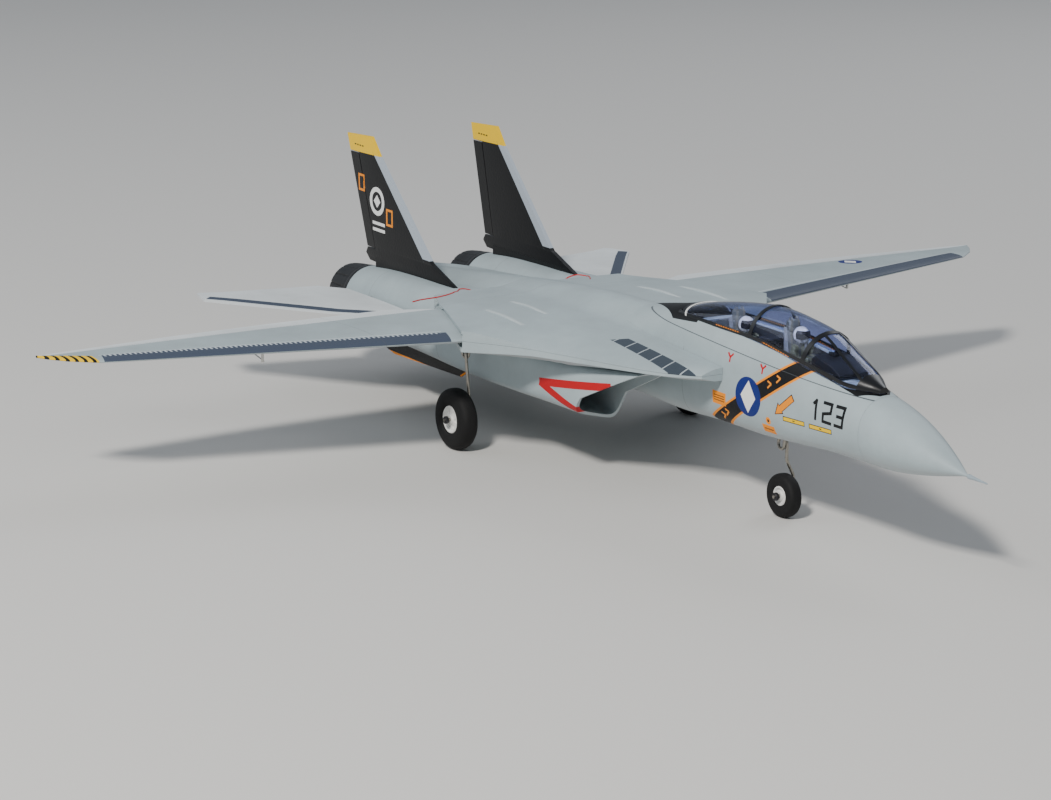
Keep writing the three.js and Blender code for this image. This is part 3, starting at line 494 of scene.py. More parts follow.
def make_edge_mark():
    """Mask of the points on the left of a straight line."""
    tree, inputs, outputs = group_tree("edge_mark", [*POINT, *LINE_ENDS], [("Mask", "f")])
    run, rise, dx, dz = line_offsets(tree, inputs)
    turn = group_math(
        tree, "SUBTRACT", group_math(tree, "MULTIPLY", run, dz), group_math(tree, "MULTIPLY", rise, dx))
    tree.links.new(group_math(tree, "GREATER_THAN", turn, 0.0), outputs["Mask"])
    return tree


FOAM_SKIN = make_foam_skin()
EDGE_MARK = make_edge_mark()
BOX_MARK = make_box_mark()
DISC_MARK = make_disc_mark()
BAND_MARK = make_band_mark()

GULL_GREY = (0.36, 0.43, 0.455)
PALE_GREY = (0.43, 0.48, 0.50)
INK = (0.0035, 0.0038, 0.005)
ORANGE = (0.88, 0.27, 0.004)
YELLOW = (0.86, 0.54, 0.0)
SIGNAL_RED = (0.48, 0.005, 0.01)
DEEP_BLUE = (0.006, 0.018, 0.16)
CHALK = (0.80, 0.81, 0.80)


def foam_paint(name, color, marks=None, seams=None, roughness=0.5, pale_belly=False):
    """Sprayed paint on bead foam, with (mask, colour) pairs from marks and pressed-in lines from seams."""
    look = Shader(name)
    x, y, z, place = look.place()
    skin = look.group(FOAM_SKIN, Place=place, Bead_size=0.0035, Depth=0.55)
    dark = tuple(c * 0.86 for c in color)
    light = tuple(min(1, c * 1.1) for c in color)
    tone = look.math("MULTIPLY_ADD", skin.outputs["Tone"], 2.2)
    tone.node.inputs[2].default_value = -0.6
    tone.node.use_clamp = True
    tint = look.mix(tone, dark, light)
    if pale_belly:
        facing = look.node("ShaderNodeSeparateXYZ")
        look.feed(facing.inputs[0], look.node("ShaderNodeNewGeometry").outputs["Normal"])
        below = look.math("MULTIPLY_ADD", facing.outputs[2], -3.0)
        below.node.inputs[2].default_value = -1.2
        below.node.use_clamp = True
        tint = look.mix(below, tint, PALE_GREY)
    for mask, paint in (marks(look, x, y, z) if marks else ()):
        tint = look.mix(mask, tint, paint)
    height = skin.outputs["Height"]
    for mask in (seams(look, x, y, z) if seams else ()):
        height = look.minus(height, look.times(mask, 1.6))
        tint = look.mix(look.times(mask, 0.55), tint, (0.08, 0.09, 0.1))
    rough = look.math("MULTIPLY_ADD", skin.outputs["Tone"], 0.25)
    rough.node.inputs[2].default_value = roughness - 0.12
    look.paint(tint, rough)
    look.surface.inputs["Specular IOR Level"].default_value = 0.3
    look.bump(height, 0.5, 0.0004)
    return look.material


def box_mark(look, along, up, middle, half):
    """Rectangle mask from middles and halves in millimetres."""
    return look.group(BOX_MARK, Along=along, Up=up, Middle_along=middle[0] * MM, Middle_up=middle[1] * MM,
                      Half_along=half[0] * MM, Half_up=half[1] * MM).outputs[0]


def disc_mark(look, along, up, middle, radius):
    return look.group(DISC_MARK, Along=along, Up=up, Middle_along=middle[0] * MM, Middle_up=middle[1] * MM,
                      Radius=radius * MM).outputs[0]


def band_mark(look, along, up, start, end, half_width):
    return look.group(BAND_MARK, Along=along, Up=up, From_along=start[0] * MM, From_up=start[1] * MM,
                      To_along=end[0] * MM, To_up=end[1] * MM, Half_width=half_width * MM).outputs[0]


def line_mark(look, value, place, half):
    """Thin line where a coordinate equals a place, in millimetres."""
    return look.below(look.size(look.minus(value, place * MM)), half * MM)


def nose_core(name, grow=0.0):
    rings = []
    for x in steps(459.4, 0, 92):
        half, top, middle, bottom, squareness = smooth_row(NOSE_RINGS, x)
        rings.append(rounded_ring(x, 0, half, top, middle, bottom, squareness, count=72, grow=grow))
    return skinned(name, rings)


def make_radome():
    """Ogive cone whose point sits a little below its middle."""
    length = NOSE_TIP_X - RADOME_JOINT_X
    rings = []
    for part in [0, 0.012, 0.035] + steps(0.07, 1, 34):
        curve = math.sin(part * math.pi / 2)
        half = max(1.6, 39.5 * curve ** 0.9)
        top = NOSE_TIP_Z + max(1.6, 57.8 * (part + curve) / 2)
        bottom = NOSE_TIP_Z - max(1.6, 23.6 * curve)
        middle = NOSE_TIP_Z + 17.4 * part
        rings.append(rounded_ring(NOSE_TIP_X - part * length, 0, half, top, middle, bottom, 2.1, count=72))
    return rounded_edges(skinned("radome_cone", rings), 0.5, angle=60, segments=2)


# The hatch joint climbs from the radome to the spine.
def hatch_joint_z(x):
    return 187 + (460 - x) * 0.0533


HATCH_JOINT = [(900, hatch_joint_z(900)), (-900, hatch_joint_z(-900))]

nose_skin = nose_core("nose_skin")
above_joint = extruded("joint_tool", [*HATCH_JOINT, (-900, 900), (900, 900)], -300, 300, upright=True)
above_joint.data.transform(Matrix.Translation((0, 0, -SEAM / 2 * MM)))
combine(nose_skin, above_joint)
BAY_REAR = 100
BAY_FRONT = 400
BAY_HALF = 31
BAY_FLOOR = 122
WELL_HALF = 15
WELL_MIDDLE_X = 275
combine(nose_skin, block("bay_tool", (BAY_REAR, -BAY_HALF, BAY_FLOOR), (BAY_FRONT, BAY_HALF, 400)))
combine(nose_skin, block("well_tool", (WELL_MIDDLE_X - WELL_HALF, -WELL_HALF, 80),
                         (WELL_MIDDLE_X + WELL_HALF, WELL_HALF, 116)))


def mark_side(look, along, up, start, end):
    """Mask of everything on the left of a line from start to end, in millimetres."""
    return look.group(EDGE_MARK, Along=along, Up=up, From_along=start[0] * MM, From_up=start[1] * MM,
                      To_along=end[0] * MM, To_up=end[1] * MM).outputs[0]


def polygon_mark(look, along, up, corners):
    """Mask of a convex polygon whose corners run anticlockwise, in millimetres."""
    mask = None
    for start, end in zip(corners, corners[1:] + corners[:1]):
        side = mark_side(look, along, up, start, end)
        mask = side if mask is None else look.times(mask, side)
    return mask


REAR_SHIELD = [(140, -60), (140, 60), (0, 0)]
REAR_SHIELD_EDGE = [(0, 204.5), (136, 215.5)]
DIGIT_STROKES = {
    "1": [((7, 0), (7, 22)), ((3, 18), (7, 22))],
    "2": [((0, 22), (13, 22)), ((13, 22), (13, 12)), ((13, 12), (0, 9)), ((0, 9), (0, 0)), ((0, 0), (14, 0))],
    "3": [((0, 22), (13, 22)), ((13, 22), (13, 0)), ((3, 11), (13, 11)), ((13, 0), (0, 0))],
}
DIGIT_PLACES = [("1", 378), ("2", 398), ("3", 419)]
DIGIT_BASE = 152
NUMBER_MIDDLE = 409


def nose_marks(look, x, y, z):
    """Stripe, roundel, number and service marks on both sides of the nose, and the black glare shield."""
    marks = []
    out = look.size(y)
    bay_height = look.below(look.size(look.minus(z, 0.1605)), 0.039)
    in_bay = look.times(look.below(out, 0.0314), bay_height)
    on_side = look.times(look.above(out, 0.024), look.below(z, 0.209))
    on_side = look.minus(on_side, in_bay, clamp=True)

    def add(mask, paint):
        marks.append((look.times(mask, on_side), paint))

    add(band_mark(look, x, z, (366, 216), (186, 100), 11.5), ORANGE)
    add(band_mark(look, x, z, (366, 216), (186, 100), 8.8), INK)
    for chevron_x, chevron_z in ((318, 185), (303, 175.5), (222, 123.5), (213, 117.5)):
        for arm in ((-7, 2.3), (-6.3, -6)):
            arm_end = (chevron_x + arm[0], chevron_z + arm[1])
            add(band_mark(look, x, z, (chevron_x, chevron_z), arm_end, 1.1), ORANGE)
    add(disc_mark(look, x, z, (261, 151), 24), DEEP_BLUE)
    diamond = [(261, 131), (275, 151), (261, 171), (247, 151)]
    add(polygon_mark(look, x, z, diamond), CHALK)
    for start, end in (((327, 139.5), (366, 141)), ((374, 141), (414, 142.5))):
        add(band_mark(look, x, z, start, end, 3), INK)
        add(band_mark(look, x, z, (start[0] + 1, start[1]), (end[0] - 1, end[1]), 2.1), YELLOW)
        gap = ((start[0] + end[0]) / 2, (start[1] + end[1]) / 2)
        add(band_mark(look, x, z, (gap[0] - 2, gap[1]), (gap[0] + 2, gap[1]), 0.6), INK)
    add(band_mark(look, x, z, (344, 168), (320, 148), 4.6), INK)
    add(polygon_mark(look, x, z, [(312, 141), (328, 145), (317, 157)]), INK)
    add(band_mark(look, x, z, (343, 167), (320, 148), 3.7), ORANGE)
    add(polygon_mark(look, x, z, [(313.5, 142.2), (326, 145.6), (317.8, 155)]), ORANGE)
    add(box_mark(look, x, z, (205, 137), (13, 8)), ORANGE)
    for row in (140, 137, 134):
        add(box_mark(look, x, z, (205, row), (10, 0.5)), INK)
    add(box_mark(look, x, z, (297, 119), (11, 5)), ORANGE)
    add(box_mark(look, x, z, (297, 119), (8, 0.6)), INK)
    add(disc_mark(look, x, z, (299, 130), 4.5), ORANGE)
    add(disc_mark(look, x, z, (299, 130), 1.8), INK)
    for tx, tz in ((222, 191), (284, 189.5)):
        for tip in ((-5, 5), (5, 5), (0, -6)):
            add(band_mark(look, x, z, (tx, tz), (tx + tip[0], tz + tip[1]), 1.3), SIGNAL_RED)
    turned = look.times(look.minus(x, NUMBER_MIDDLE * MM), look.math("SIGN", y))
    reading = look.minus(NUMBER_MIDDLE * MM, turned)
    for digit, left in DIGIT_PLACES:
        for start, end in DIGIT_STROKES[digit]:
            low = (left + start[0], DIGIT_BASE + start[1])
            high = (left + end[0], DIGIT_BASE + end[1])
            reach = math.dist(low, high)
            push = [(b - a) / reach * 1.4 for a, b in zip(low, high)]
            low = (low[0] - push[0], low[1] - push[1])
            high = (high[0] + push[0], high[1] + push[1])
            add(band_mark(look, reading, z, low, high, 1.9), INK)
    joint = band_mark(look, x, z, (459, hatch_joint_z(459)), (20, hatch_joint_z(20)), 0.5)
    marks.append((look.times(joint, 0.8), (0.06, 0.07, 0.08)))
    rear = look.times(polygon_mark(look, x, y, REAR_SHIELD), mark_side(look, x, z, *REAR_SHIELD_EDGE))
    front = polygon_mark(look, x, y, [(385, -40), (430, -31), (457, -7), (457, 7), (430, 31), (385, 40)])
    front = look.times(front, mark_side(look, x, z, (372, 202), (430, 189.5)))
    marks.append((look.math("MAXIMUM", rear, front), INK))
    return marks


def nose_seams(look, x, y, z):
    """Panel joints pressed into the nose skin."""
    low = look.below(z, 0.186)
    belt = look.times(line_mark(look, x, 130, 0.35), low)
    keel = look.times(line_mark(look, z, 116, 0.3), look.above(x, 0.405))
    return [belt, keel]


NOSE_PAINT = foam_paint("painted_nose_foam", GULL_GREY, nose_marks, nose_seams, pale_belly=True)
settle(make_radome(), NOSE_PAINT, "airframe", "grey_foam", "radome")
settle(nose_skin, NOSE_PAINT, "airframe", "grey_foam", "nose_fuselage")

# ---------------------------------------------------------------- nose probe
# A thin tapered probe stands in a small collar at the point of the radome. It is turned metal,
# painted to match the nose.
PROBE_LENGTH = 31.7


def turned(name, profile, start, end, sides=48, ridge=None):
    """Closed piece turned round the line from start to end, from (part of the line, radius) pairs."""
    start, end = Vector(start), Vector(end)
    axis = (end - start).normalized()
    side = axis.orthogonal().normalized()
    other = axis.cross(side)
    rings = []
    for part, radius in profile:
        middle = start.lerp(end, part)
        ring = []
        for k in range(sides):
            angle = (k + 0.5) / sides * 2 * math.pi
            reach = radius * (ridge(k, part) if ridge else 1)
            ring.append(tuple(middle + reach * (side * math.cos(angle) + other * math.sin(angle))))
        rings.append(ring)
    return skinned(name, rings)


def metal_paint(name, color, roughness=0.35, metallic=1.0, streak=(1, 1, 1), wear=0.25):
    """Bare or plated metal with fine drawn streaks and dull patches."""
    look = Shader(name)
    place = look.place()[3]
    stretch = look.node("ShaderNodeMapping")
    stretch.inputs["Scale"].default_value = streak
    look.feed(stretch.inputs["Vector"], place)
    streaks = look.noise(stretch.outputs[0], 900, 3)
    patches = look.noise(place, 140, 4)
    share = look.times(look.minus(patches, 0.45), 3, clamp=True)
    look.paint(look.mix(share, color, tuple(c * 0.72 for c in color)),
               look.plus(look.times(streaks, wear), roughness - wear / 2, clamp=True))
    look.surface.inputs["Metallic"].default_value = metallic
    look.bump(streaks, 0.25, 0.0001)
    return look.material


PROBE_PAINT = metal_paint("painted_probe", (0.36, 0.43, 0.48), 0.45, 0.3)
probe_start = (NOSE_TIP_X + 0.3, 0, NOSE_TIP_Z)
probe_end = (NOSE_TIP_X + 0.3 + PROBE_LENGTH, 0, NOSE_TIP_Z - 1)
PROBE_PROFILE = [(0, 2.2), (0.02, 2.8), (0.14, 2.7), (0.17, 2.3),
                 (0.6, 1.6), (0.63, 1.3), (0.95, 1), (1, 0.55)]
probe = turned("nose_probe", PROBE_PROFILE, probe_start, probe_end, 24)
settle(probe, PROBE_PAINT, "airframe", "steel_wire", "pitot_probe")

# ---------------------------------------------------------------- hatch deck
# The top of the nose lifts off in one piece, with the canopy and cockpit on it, and sits back on
# the joint line with magnets. It is foam painted with the nose, black behind and before the glass.
CANOPY_RINGS = [
    [454, 193.5, 5, 198.5],
    [420, 195, 24, 213.5],
    [395, 200, 29, 225],
    [358.5, 206.5, 33, 242],
    [294, 213.5, 34, 252.3],
    [251, 217, 34, 254.3],
    [215.7, 217.5, 34, 250.9],
    [132.7, 217.5, 34, 236.6],
    [96, 217.5, 32, 227.8],
]
COCKPIT_FRONT = 394
COCKPIT_REAR = 132
COCKPIT_HALF = 27
COCKPIT_FLOOR = 176


def canopy_hull(name, offset, skirt):
    """Blown canopy shape moved outwards by an offset, standing on skirts below its sill."""
    rings = []
    stations = steps(454, 96, 72)
    for x in stations:
        sill, half, top = smooth_row(CANOPY_RINGS, x)
        wide = max(1, half + offset)
        station = x + (offset if x == stations[0] else -offset if x == stations[-1] else 0)
        ring = []
        for k in range(41):
            angle = k / 40 * math.pi
            rise = math.sin(angle) ** 0.9 * max(1.5, top - sill + offset)
            ring.append((station, math.cos(angle) * wide, sill + rise))
        ring += [(station, -wide, sill - skirt), (station, wide, sill - skirt)]
        rings.append(ring)
    return skinned(name, rings)


hatch_deck = nose_core("hatch_deck_skin")
below_joint = extruded("joint_tool", [*HATCH_JOINT, (-900, -900), (900, -900)], -300, 300, upright=True)
below_joint.data.transform(Matrix.Translation((0, 0, SEAM / 2 * MM)))
combine(hatch_deck, below_joint)
combine(hatch_deck, canopy_hull("glass_room", 0.5, 3.5))
combine(hatch_deck, canopy_hull("frame_room", 1.7, 0.5))
hollow = [(COCKPIT_REAR, COCKPIT_FLOOR), (COCKPIT_FRONT, COCKPIT_FLOOR + 14),
          (COCKPIT_FRONT, 260), (COCKPIT_REAR, 260)]
combine(hatch_deck, extruded("cockpit_room", hollow, -COCKPIT_HALF - 0.3, COCKPIT_HALF + 0.3, upright=True))
settle(hatch_deck, NOSE_PAINT, "hatch", "grey_foam", "hatch_deck")

# ---------------------------------------------------------------- cockpit tub, panels and coaming
# A thin vacuum-formed plastic tub sits in the hatch, with side consoles, two instrument panels and
# a black coaming over the front one. Panels and consoles are glued-in printed plastic.


def plastic_paint(name, color, roughness=0.45, marks=None, grain=0.0009):
    """Moulded plastic with a fine cast grain and slightly uneven sheen."""
    look = Shader(name)
    x, y, z, place = look.place()
    skin = look.group(FOAM_SKIN, Place=place, Bead_size=grain, Depth=0.8)
    dark = tuple(c * 0.8 for c in color)
    light = tuple(min(1, c * 1.2) for c in color)
    tint = look.mix(skin.outputs["Tone"], dark, light)
    for mask, paint in (marks(look, x, y, z) if marks else ()):
        tint = look.mix(mask, tint, paint)
    look.paint(tint, look.plus(look.times(skin.outputs["Tone"], 0.2), roughness - 0.1))
    look.bump(skin.outputs["Height"], 0.4, 0.0001)
    return look.material


def console_marks(look, x, y, z):
    """Rows of small switches printed along the side consoles."""
    out = look.above(look.size(y), 0.0185)
    row = look.below(look.math("FRACT", look.times(x, 160)), 0.5)
    column = look.below(look.math("FRACT", look.times(y, 300)), 0.55)
    switches = look.times(look.times(row, column), out)
    return [(out, (0.03, 0.032, 0.035)), (look.times(switches, 0.5), (0.35, 0.35, 0.33))]


TUB_PAINT = plastic_paint("cockpit_grey_plastic", (0.14, 0.155, 0.16), 0.55, console_marks)
refinish(TUB_PAINT, "cockpit_tub")


def console(name, sign):
    """Side console that steps down with the cockpit floor."""
    outline = [(140, 196), (233, 196), (241, 200), (340, 204), (388, 203), (388, 194), (140, 180)]
    low, high = sorted((sign * 18.6, sign * 25.2))
    return rounded_edges(extruded(name, outline, low, high, upright=True), 0.8)


for side_name, sign in (("left", 1), ("right", -1)):
    settle(console(f"side_console_{side_name}", sign), TUB_PAINT, "hatch", "cockpit_grey")


def panel_marks(look, x, y, z):
    """Round dials in two rows on an instrument panel."""
    column = look.minus(look.math("FRACT", look.times(y, 130)), 0.5)
    row = look.minus(look.math("FRACT", look.times(z, 130)), 0.5)
    squares = look.plus(look.times(column, column), look.times(row, row))
    rim = look.below(squares, 0.15)
    face = look.below(squares, 0.1)
    return [(rim, (0.4, 0.4, 0.38)), (face, (0.01, 0.012, 0.014))]


PANEL_PAINT = plastic_paint("instrument_panel_plastic", (0.05, 0.052, 0.055), 0.4, panel_marks)
for panel_name, (front, low, high) in (("front", (350, 198, 214)), ("rear", (243, 192, 213))):
    board = block(f"instrument_panel_{panel_name}", (front - 2.5, -18, low), (front, 18, high))
    panel = rounded_edges(board, 0.8)
    settle(panel, PANEL_PAINT, "hatch", "black_plastic")

COAMING_OUTLINE = [(346, 205), (347, 214), (352, 218), (366, 216),
                   (386, 210.5), (400, 203.5), (400, 200.8), (372, 203)]
shield = extruded("coaming_hood", COAMING_OUTLINE, -21.5, 21.5, upright=True)
rounded_edges(shield, 2.2, segments=4)
BLACK_PLASTIC = plastic_paint("matt_black_plastic", (0.006, 0.0065, 0.0075), 0.55)
settle(shield, BLACK_PLASTIC, "hatch", "black_plastic", "coaming")
sight = rounded_edges(block("gun_sight", (357, -5, 216.5), (366, 5, 222)), 0.8)
combine(sight, block("sight_slot", (355, -3.4, 219), (370, 3.4, 230)))
settle(sight, BLACK_PLASTIC, "hatch", "black_plastic")
HOOD_OUTLINE = [(236, 211), (238, 217), (250, 214), (252, 209), (248, 209)]
hood = extruded("rear_panel_hood", HOOD_OUTLINE, -20, 20, upright=True)
settle(rounded_edges(hood, 1), BLACK_PLASTIC, "hatch", "black_plastic")

# ---------------------------------------------------------------- seats
# Two moulded ejector seats stand one behind the other: a padded pan, a reclined back between side
# rails, and a box head rest with two handle loops. They are plastic, painted grey.
CREW = {"front": (300, 190), "rear": (192, 181)}


def joined(name, pieces):
    """One piece from several, under the given name."""
    deselect()
    for piece in pieces:
        piece.select_set(True)
    bpy.context.view_layer.objects.active = pieces[0]
    bpy.ops.object.join()
    pieces[0].name = name
    return pieces[0]


def moved(piece, x, y, z):
    piece.data.transform(Matrix.Translation((x * MM, y * MM, z * MM)))
    return piece


def make_seat(name):
    pan = rounded_edges(block(name, (-13, -11, 0), (13, 11, 8)), 2, segments=4)
    back_outline = [(-14, 0), (-8, 0), (-12, 24), (-14.5, 42), (-20, 42), (-18, 20)]
    back = rounded_edges(extruded("seat_back", back_outline, -10.5, 10.5, upright=True), 1.5)
    head = rounded_edges(block("seat_head", (-22, -8, 40), (-13, 8, 54)), 2.2, segments=4)
    parts = [pan, back, head]
    for sign in (-1, 1):
        low, high = sorted((sign * 10.6, sign * 12))
        rail_outline = [(-15, 0), (11, 0), (11, 10), (2, 12),
                        (-9, 14), (-15.5, 46), (-20.5, 46), (-18.5, 20)]
        rail = rounded_edges(extruded("seat_rail", rail_outline, low, high, upright=True), 0.6)
        strap = rounded_edges(extruded("seat_strap", [(-12.2, 16), (-10.9, 16), (-13, 38), (-14.4, 38)],
                                       sign * 5 - 1.6, sign * 5 + 1.6, upright=True), 0.4)
        parts += [rail, strap]
    for sign in (-1, 1):
        deselect()
        bpy.ops.mesh.primitive_torus_add(major_radius=0.0028, minor_radius=0.0006, major_segments=20,
                                         minor_segments=8, location=(-0.0165, sign * 0.0045, 0.0545),
                                         rotation=(math.radians(90), 0, 0))
        loop = bpy.context.object
        bpy.ops.object.transform_apply(location=True, rotation=True, scale=True)
        parts.append(loop)
    return joined(name, parts)


def cushion_marks(look, x, y, z):
    """Darker pads between the side rails and khaki harness straps."""
    pads = look.below(look.size(y), 0.0102)
    strap = look.below(look.size(look.minus(look.size(y), 0.005)), 0.0017)
    return [(look.times(pads, 0.8), (0.09, 0.1, 0.085)), (look.times(strap, 0.7), (0.2, 0.19, 0.13))]


SEAT_PAINT = plastic_paint("seat_grey_plastic", (0.22, 0.235, 0.24), 0.6, cushion_marks)
for place, (seat_x, seat_z) in CREW.items():
    seat = moved(make_seat(f"ejector_seat_{place}"), seat_x, 0, seat_z)
    settle(seat, SEAT_PAINT, "hatch", "cockpit_grey", f"seat_{place}")

# ---------------------------------------------------------------- pilot figures
# Two small cast figures sit strapped in: flight suits, white helmets with dark visors down and grey
# breathing masks. Each is one resin casting, hand painted.
HEAD_HEIGHT = 39


def soft_form(name, place, size, squareness=0.5, turn=0.0):
    """Rounded body part: a cube subdivided into a soft form, at a place with a size in millimetres."""
    deselect()
    bpy.ops.mesh.primitive_cube_add(size=1)
    part = bpy.context.object
    part.name = name
    part.data.transform(Matrix.Translation([v * MM for v in place]) @ Matrix.Rotation(turn, 4, "Y")
                        @ Matrix.Diagonal([s * MM for s in size] + [1]))
    bpy.ops.object.mode_set(mode="EDIT")
    bpy.ops.mesh.select_all(action="SELECT")
    bpy.ops.mesh.bevel(offset=min(size) * squareness * 0.5 * MM, segments=2, affect="EDGES")
    bpy.ops.object.mode_set(mode="OBJECT")
    rounding = part.modifiers.new("rounding", "SUBSURF")
    rounding.levels = rounding.render_levels = 2
    bpy.ops.object.modifier_apply(modifier=rounding.name)
    return part


def ball(name, place, size, segments=48, rings=24):
    """Ball stretched to a size in millimetres."""
    deselect()
    bpy.ops.mesh.primitive_uv_sphere_add(segments=segments, ring_count=rings, radius=0.5)
    part = bpy.context.object
    part.name = name
    stretch = Matrix.Diagonal([s * MM for s in size] + [1])
    part.data.transform(Matrix.Translation([v * MM for v in place]) @ stretch)
    return part


def make_body(name):
    parts = [soft_form(name, (-2, 0, 18), (13, 23, 21), 0.7),
             soft_form("collar", (-1, 0, 29), (11, 13, 5), 0.8)]
    for sign in (-1, 1):
        parts.append(soft_form("upper_arm", (1, sign * 12, 20), (9, 6, 15), 0.8, 0.35))
        parts.append(soft_form("lower_arm", (9, sign * 11, 12.5), (15, 5.5, 5.5), 0.8, 0.1))
        parts.append(soft_form("thigh", (12, sign * 6.5, 11.5), (22, 8, 7.5), 0.8, -0.08))
        parts.append(soft_form("glove", (17.5, sign * 9.5, 14), (6, 5, 5), 0.9))
    return joined(name, parts)


def suit_marks(look, x, y, z):
    strap = look.below(look.size(look.minus(look.size(y), 0.0052)), 0.0016)
    return [(strap, (0.05, 0.055, 0.05))]


SUIT_PAINT = plastic_paint("flight_suit_paint", (0.12, 0.13, 0.075), 0.8, suit_marks, 0.0005)
HELMET_PAINT = plastic_paint("helmet_white_paint", (0.78, 0.78, 0.76), 0.3, None, 0.0006)
VISOR_PAINT = plastic_paint("visor_black_gloss", (0.01, 0.01, 0.012), 0.12, None, 0.0005)
MASK_PAINT = plastic_paint("mask_grey_paint", (0.11, 0.12, 0.12), 0.6, None, 0.0005)
for place, (seat_x, seat_z) in CREW.items():
    torso = moved(make_body(f"pilot_body_{place}"), seat_x, 0, seat_z)
    settle(torso, SUIT_PAINT, "hatch", "flight_suit", f"pilot_{place}")
    helmet = ball(f"pilot_helmet_{place}", (-0.8, 0, HEAD_HEIGHT), (20.5, 19, 20))
    ears = ball("ear_cups", (-1.5, 0, HEAD_HEIGHT - 3), (9, 20.4, 9.5))
    helmet = combine(helmet, ears, "UNION")
    combine(helmet, block("face_opening", (4.6, -7.2, HEAD_HEIGHT - 12), (14, 7.2, HEAD_HEIGHT + 5.2)))
    moved(helmet, seat_x, 0, seat_z)
    settle(helmet, HELMET_PAINT, "hatch", "white_plastic")
    visor = ball(f"pilot_visor_{place}", (-0.3, 0, HEAD_HEIGHT + 0.5), (21.2, 20.2, 19.4))
    limit = block("visor_limit", (0.6, -10.4, HEAD_HEIGHT - 4), (14, 10.4, HEAD_HEIGHT + 6))
    combine(visor, limit, "INTERSECT")
    moved(rounded_edges(visor, 0.4), seat_x, 0, seat_z)
    settle(visor, VISOR_PAINT, "hatch", "black_plastic")
    mask = ball(f"pilot_mask_{place}", (5.8, 0, HEAD_HEIGHT - 6), (9.5, 9, 8.4))
    hose = turned("mask_hose", [(0, 1.7)]
                  + [(p, 1.9 if i % 2 else 1.5) for i, p in enumerate(steps(0.05, 0.95, 18))]
                  + [(1, 1.6)], (9, 0, HEAD_HEIGHT - 8), (7.5, 0, 21), 16)
    moved(joined(mask.name, [mask, hose]), seat_x, 0, seat_z)
    settle(mask, MASK_PAINT, "hatch", "black_plastic")

# ---------------------------------------------------------------- canopy glass and frame
# One blown bubble of thin clear plastic, tinted smoky blue, is glued into a black frame. The frame
# has a windscreen bow with two posts, a middle bow and a rear bow with a white line.
FRAME_HEIGHT = 1.0
GLASS_WALL = 1.2


def make_glass(name):
    outside = canopy_hull(name, 0, 3)
    return combine(outside, canopy_hull("glass_inside", -GLASS_WALL, 30))


glass_look = Shader("smoky_canopy")
smears = glass_look.noise(glass_look.place()[3], 45, 4)
glass_look.paint(glass_look.mix(smears, (0.40, 0.45, 0.68), (0.50, 0.55, 0.76)),
                 glass_look.times(glass_look.minus(smears, 0.42), 0.16, clamp=True))
glass_look.surface.inputs["Transmission Weight"].default_value = 1.0
glass_look.surface.inputs["IOR"].default_value = 1.3
glass = make_glass("canopy_bubble")
glass.visible_shadow = False
settle(glass, glass_look.material, "hatch", "smoked_canopy", "canopy_glass")


def bow_plate(foot, crown, half_width):
    outline = [(foot[0] - half_width, foot[1]), (foot[0] + half_width, foot[1]),
               (crown[0] + half_width, crown[1]), (crown[0] - half_width, crown[1])]
    return extruded("bow_plate", outline, -60, 60, upright=True)


def make_frame(name):
    """Thin layer on the glass, kept only along the sill, under the bows and at the windscreen posts."""
    shell = combine(canopy_hull(name, 0.3 + FRAME_HEIGHT, 0), canopy_hull("frame_inside", 0.3, 30))
    sill = [(x, smooth_row(CANOPY_RINGS, x)[0] + 4.6) for x in steps(454, 96, 40)]
    keep = extruded("sill_band", [(470, 198), *sill, (80, 222), (80, 180), (470, 180)], -60, 60, upright=True)
    for foot, crown, half_width in (((340, 190), (360, 260), 3.6), ((239, 190), (252, 270), 3.2),
                                    ((118, 200), (93, 245), 5), ((441, 180), (449, 260), 13)):
        combine(keep, bow_plate(foot, crown, half_width), "UNION")
    for sign in (-1, 1):
        post = [(352, sign * 9), (352, sign * 12), (436, sign * 16.5), (436, sign * 13.5)]
        combine(keep, extruded("post_plate", post if sign < 0 else post[::-1], 205, 262), "UNION")
    return combine(shell, keep, "INTERSECT")


def frame_marks(look, x, y, z):
    """White line ahead of the rear bow, and short orange dashes along the sill."""
    line = band_mark(look, x, z, (122.6, 200), (97.6, 245), 1.5)
    low = look.minus(0.2205, look.times(look.math("MAXIMUM", look.minus(x, 0.25), 0.0), 0.13))
    dash_row = look.below(look.size(look.minus(z, low)), 0.0006)
    dashes = look.below(look.math("FRACT", look.times(x, 210)), 0.6)
    rear, front = (box_mark(look, x, z, *patch) for patch in (((200, 218), (24, 20)), ((295, 215), (26, 20))))
    stretch = look.plus(rear, front)
    orange = look.times(look.times(dash_row, dashes), stretch, clamp=True)
    return [(line, CHALK), (orange, ORANGE)]


FRAME_PAINT = plastic_paint("canopy_frame_black", (0.004, 0.0045, 0.006), 0.3, frame_marks)
settle(make_frame("canopy_bows"), FRAME_PAINT, "hatch", "black_plastic", "canopy_frame")

# ---------------------------------------------------------------- body shells
# The wide body is two foam shells glued along the wing plane. Gloves run forward to a thin edge,
# fairings cover the wing roots, and a slot between the shells lets the wings swing back.
SPLIT_Z = 168
TUNNEL_ROOF_Z = 140
WING_Z = 168
PIVOT_X = -165.8
PIVOT_Y = 187
SHELL_REAR_X = -300
GLOVE_EDGE = [
    [212, 78], [187.8, 100], [152.4, 121], [91.9, 145.5], [36.2, 167.3], [-18.2, 191.1],
    [-82.8, 236.6], [-162, 205], [-242.6, 172.7], [-291.6, 149.6], [-299.7, 147],
]
SPINE_CREST = [[0, 208.5], [-36, 205.4], [-127, 200.6], [-300, 184.5],
               [-491, 161.8], [-560, 153], [-638, 142]]
SPINE_HALF = [[0, 56], [-300, 50], [-638, 40]]
GLOVE_TOP = [[212, 176], [100, 183], [0, 186.5], [-120, 188], [-220, 183], [-300, 177]]
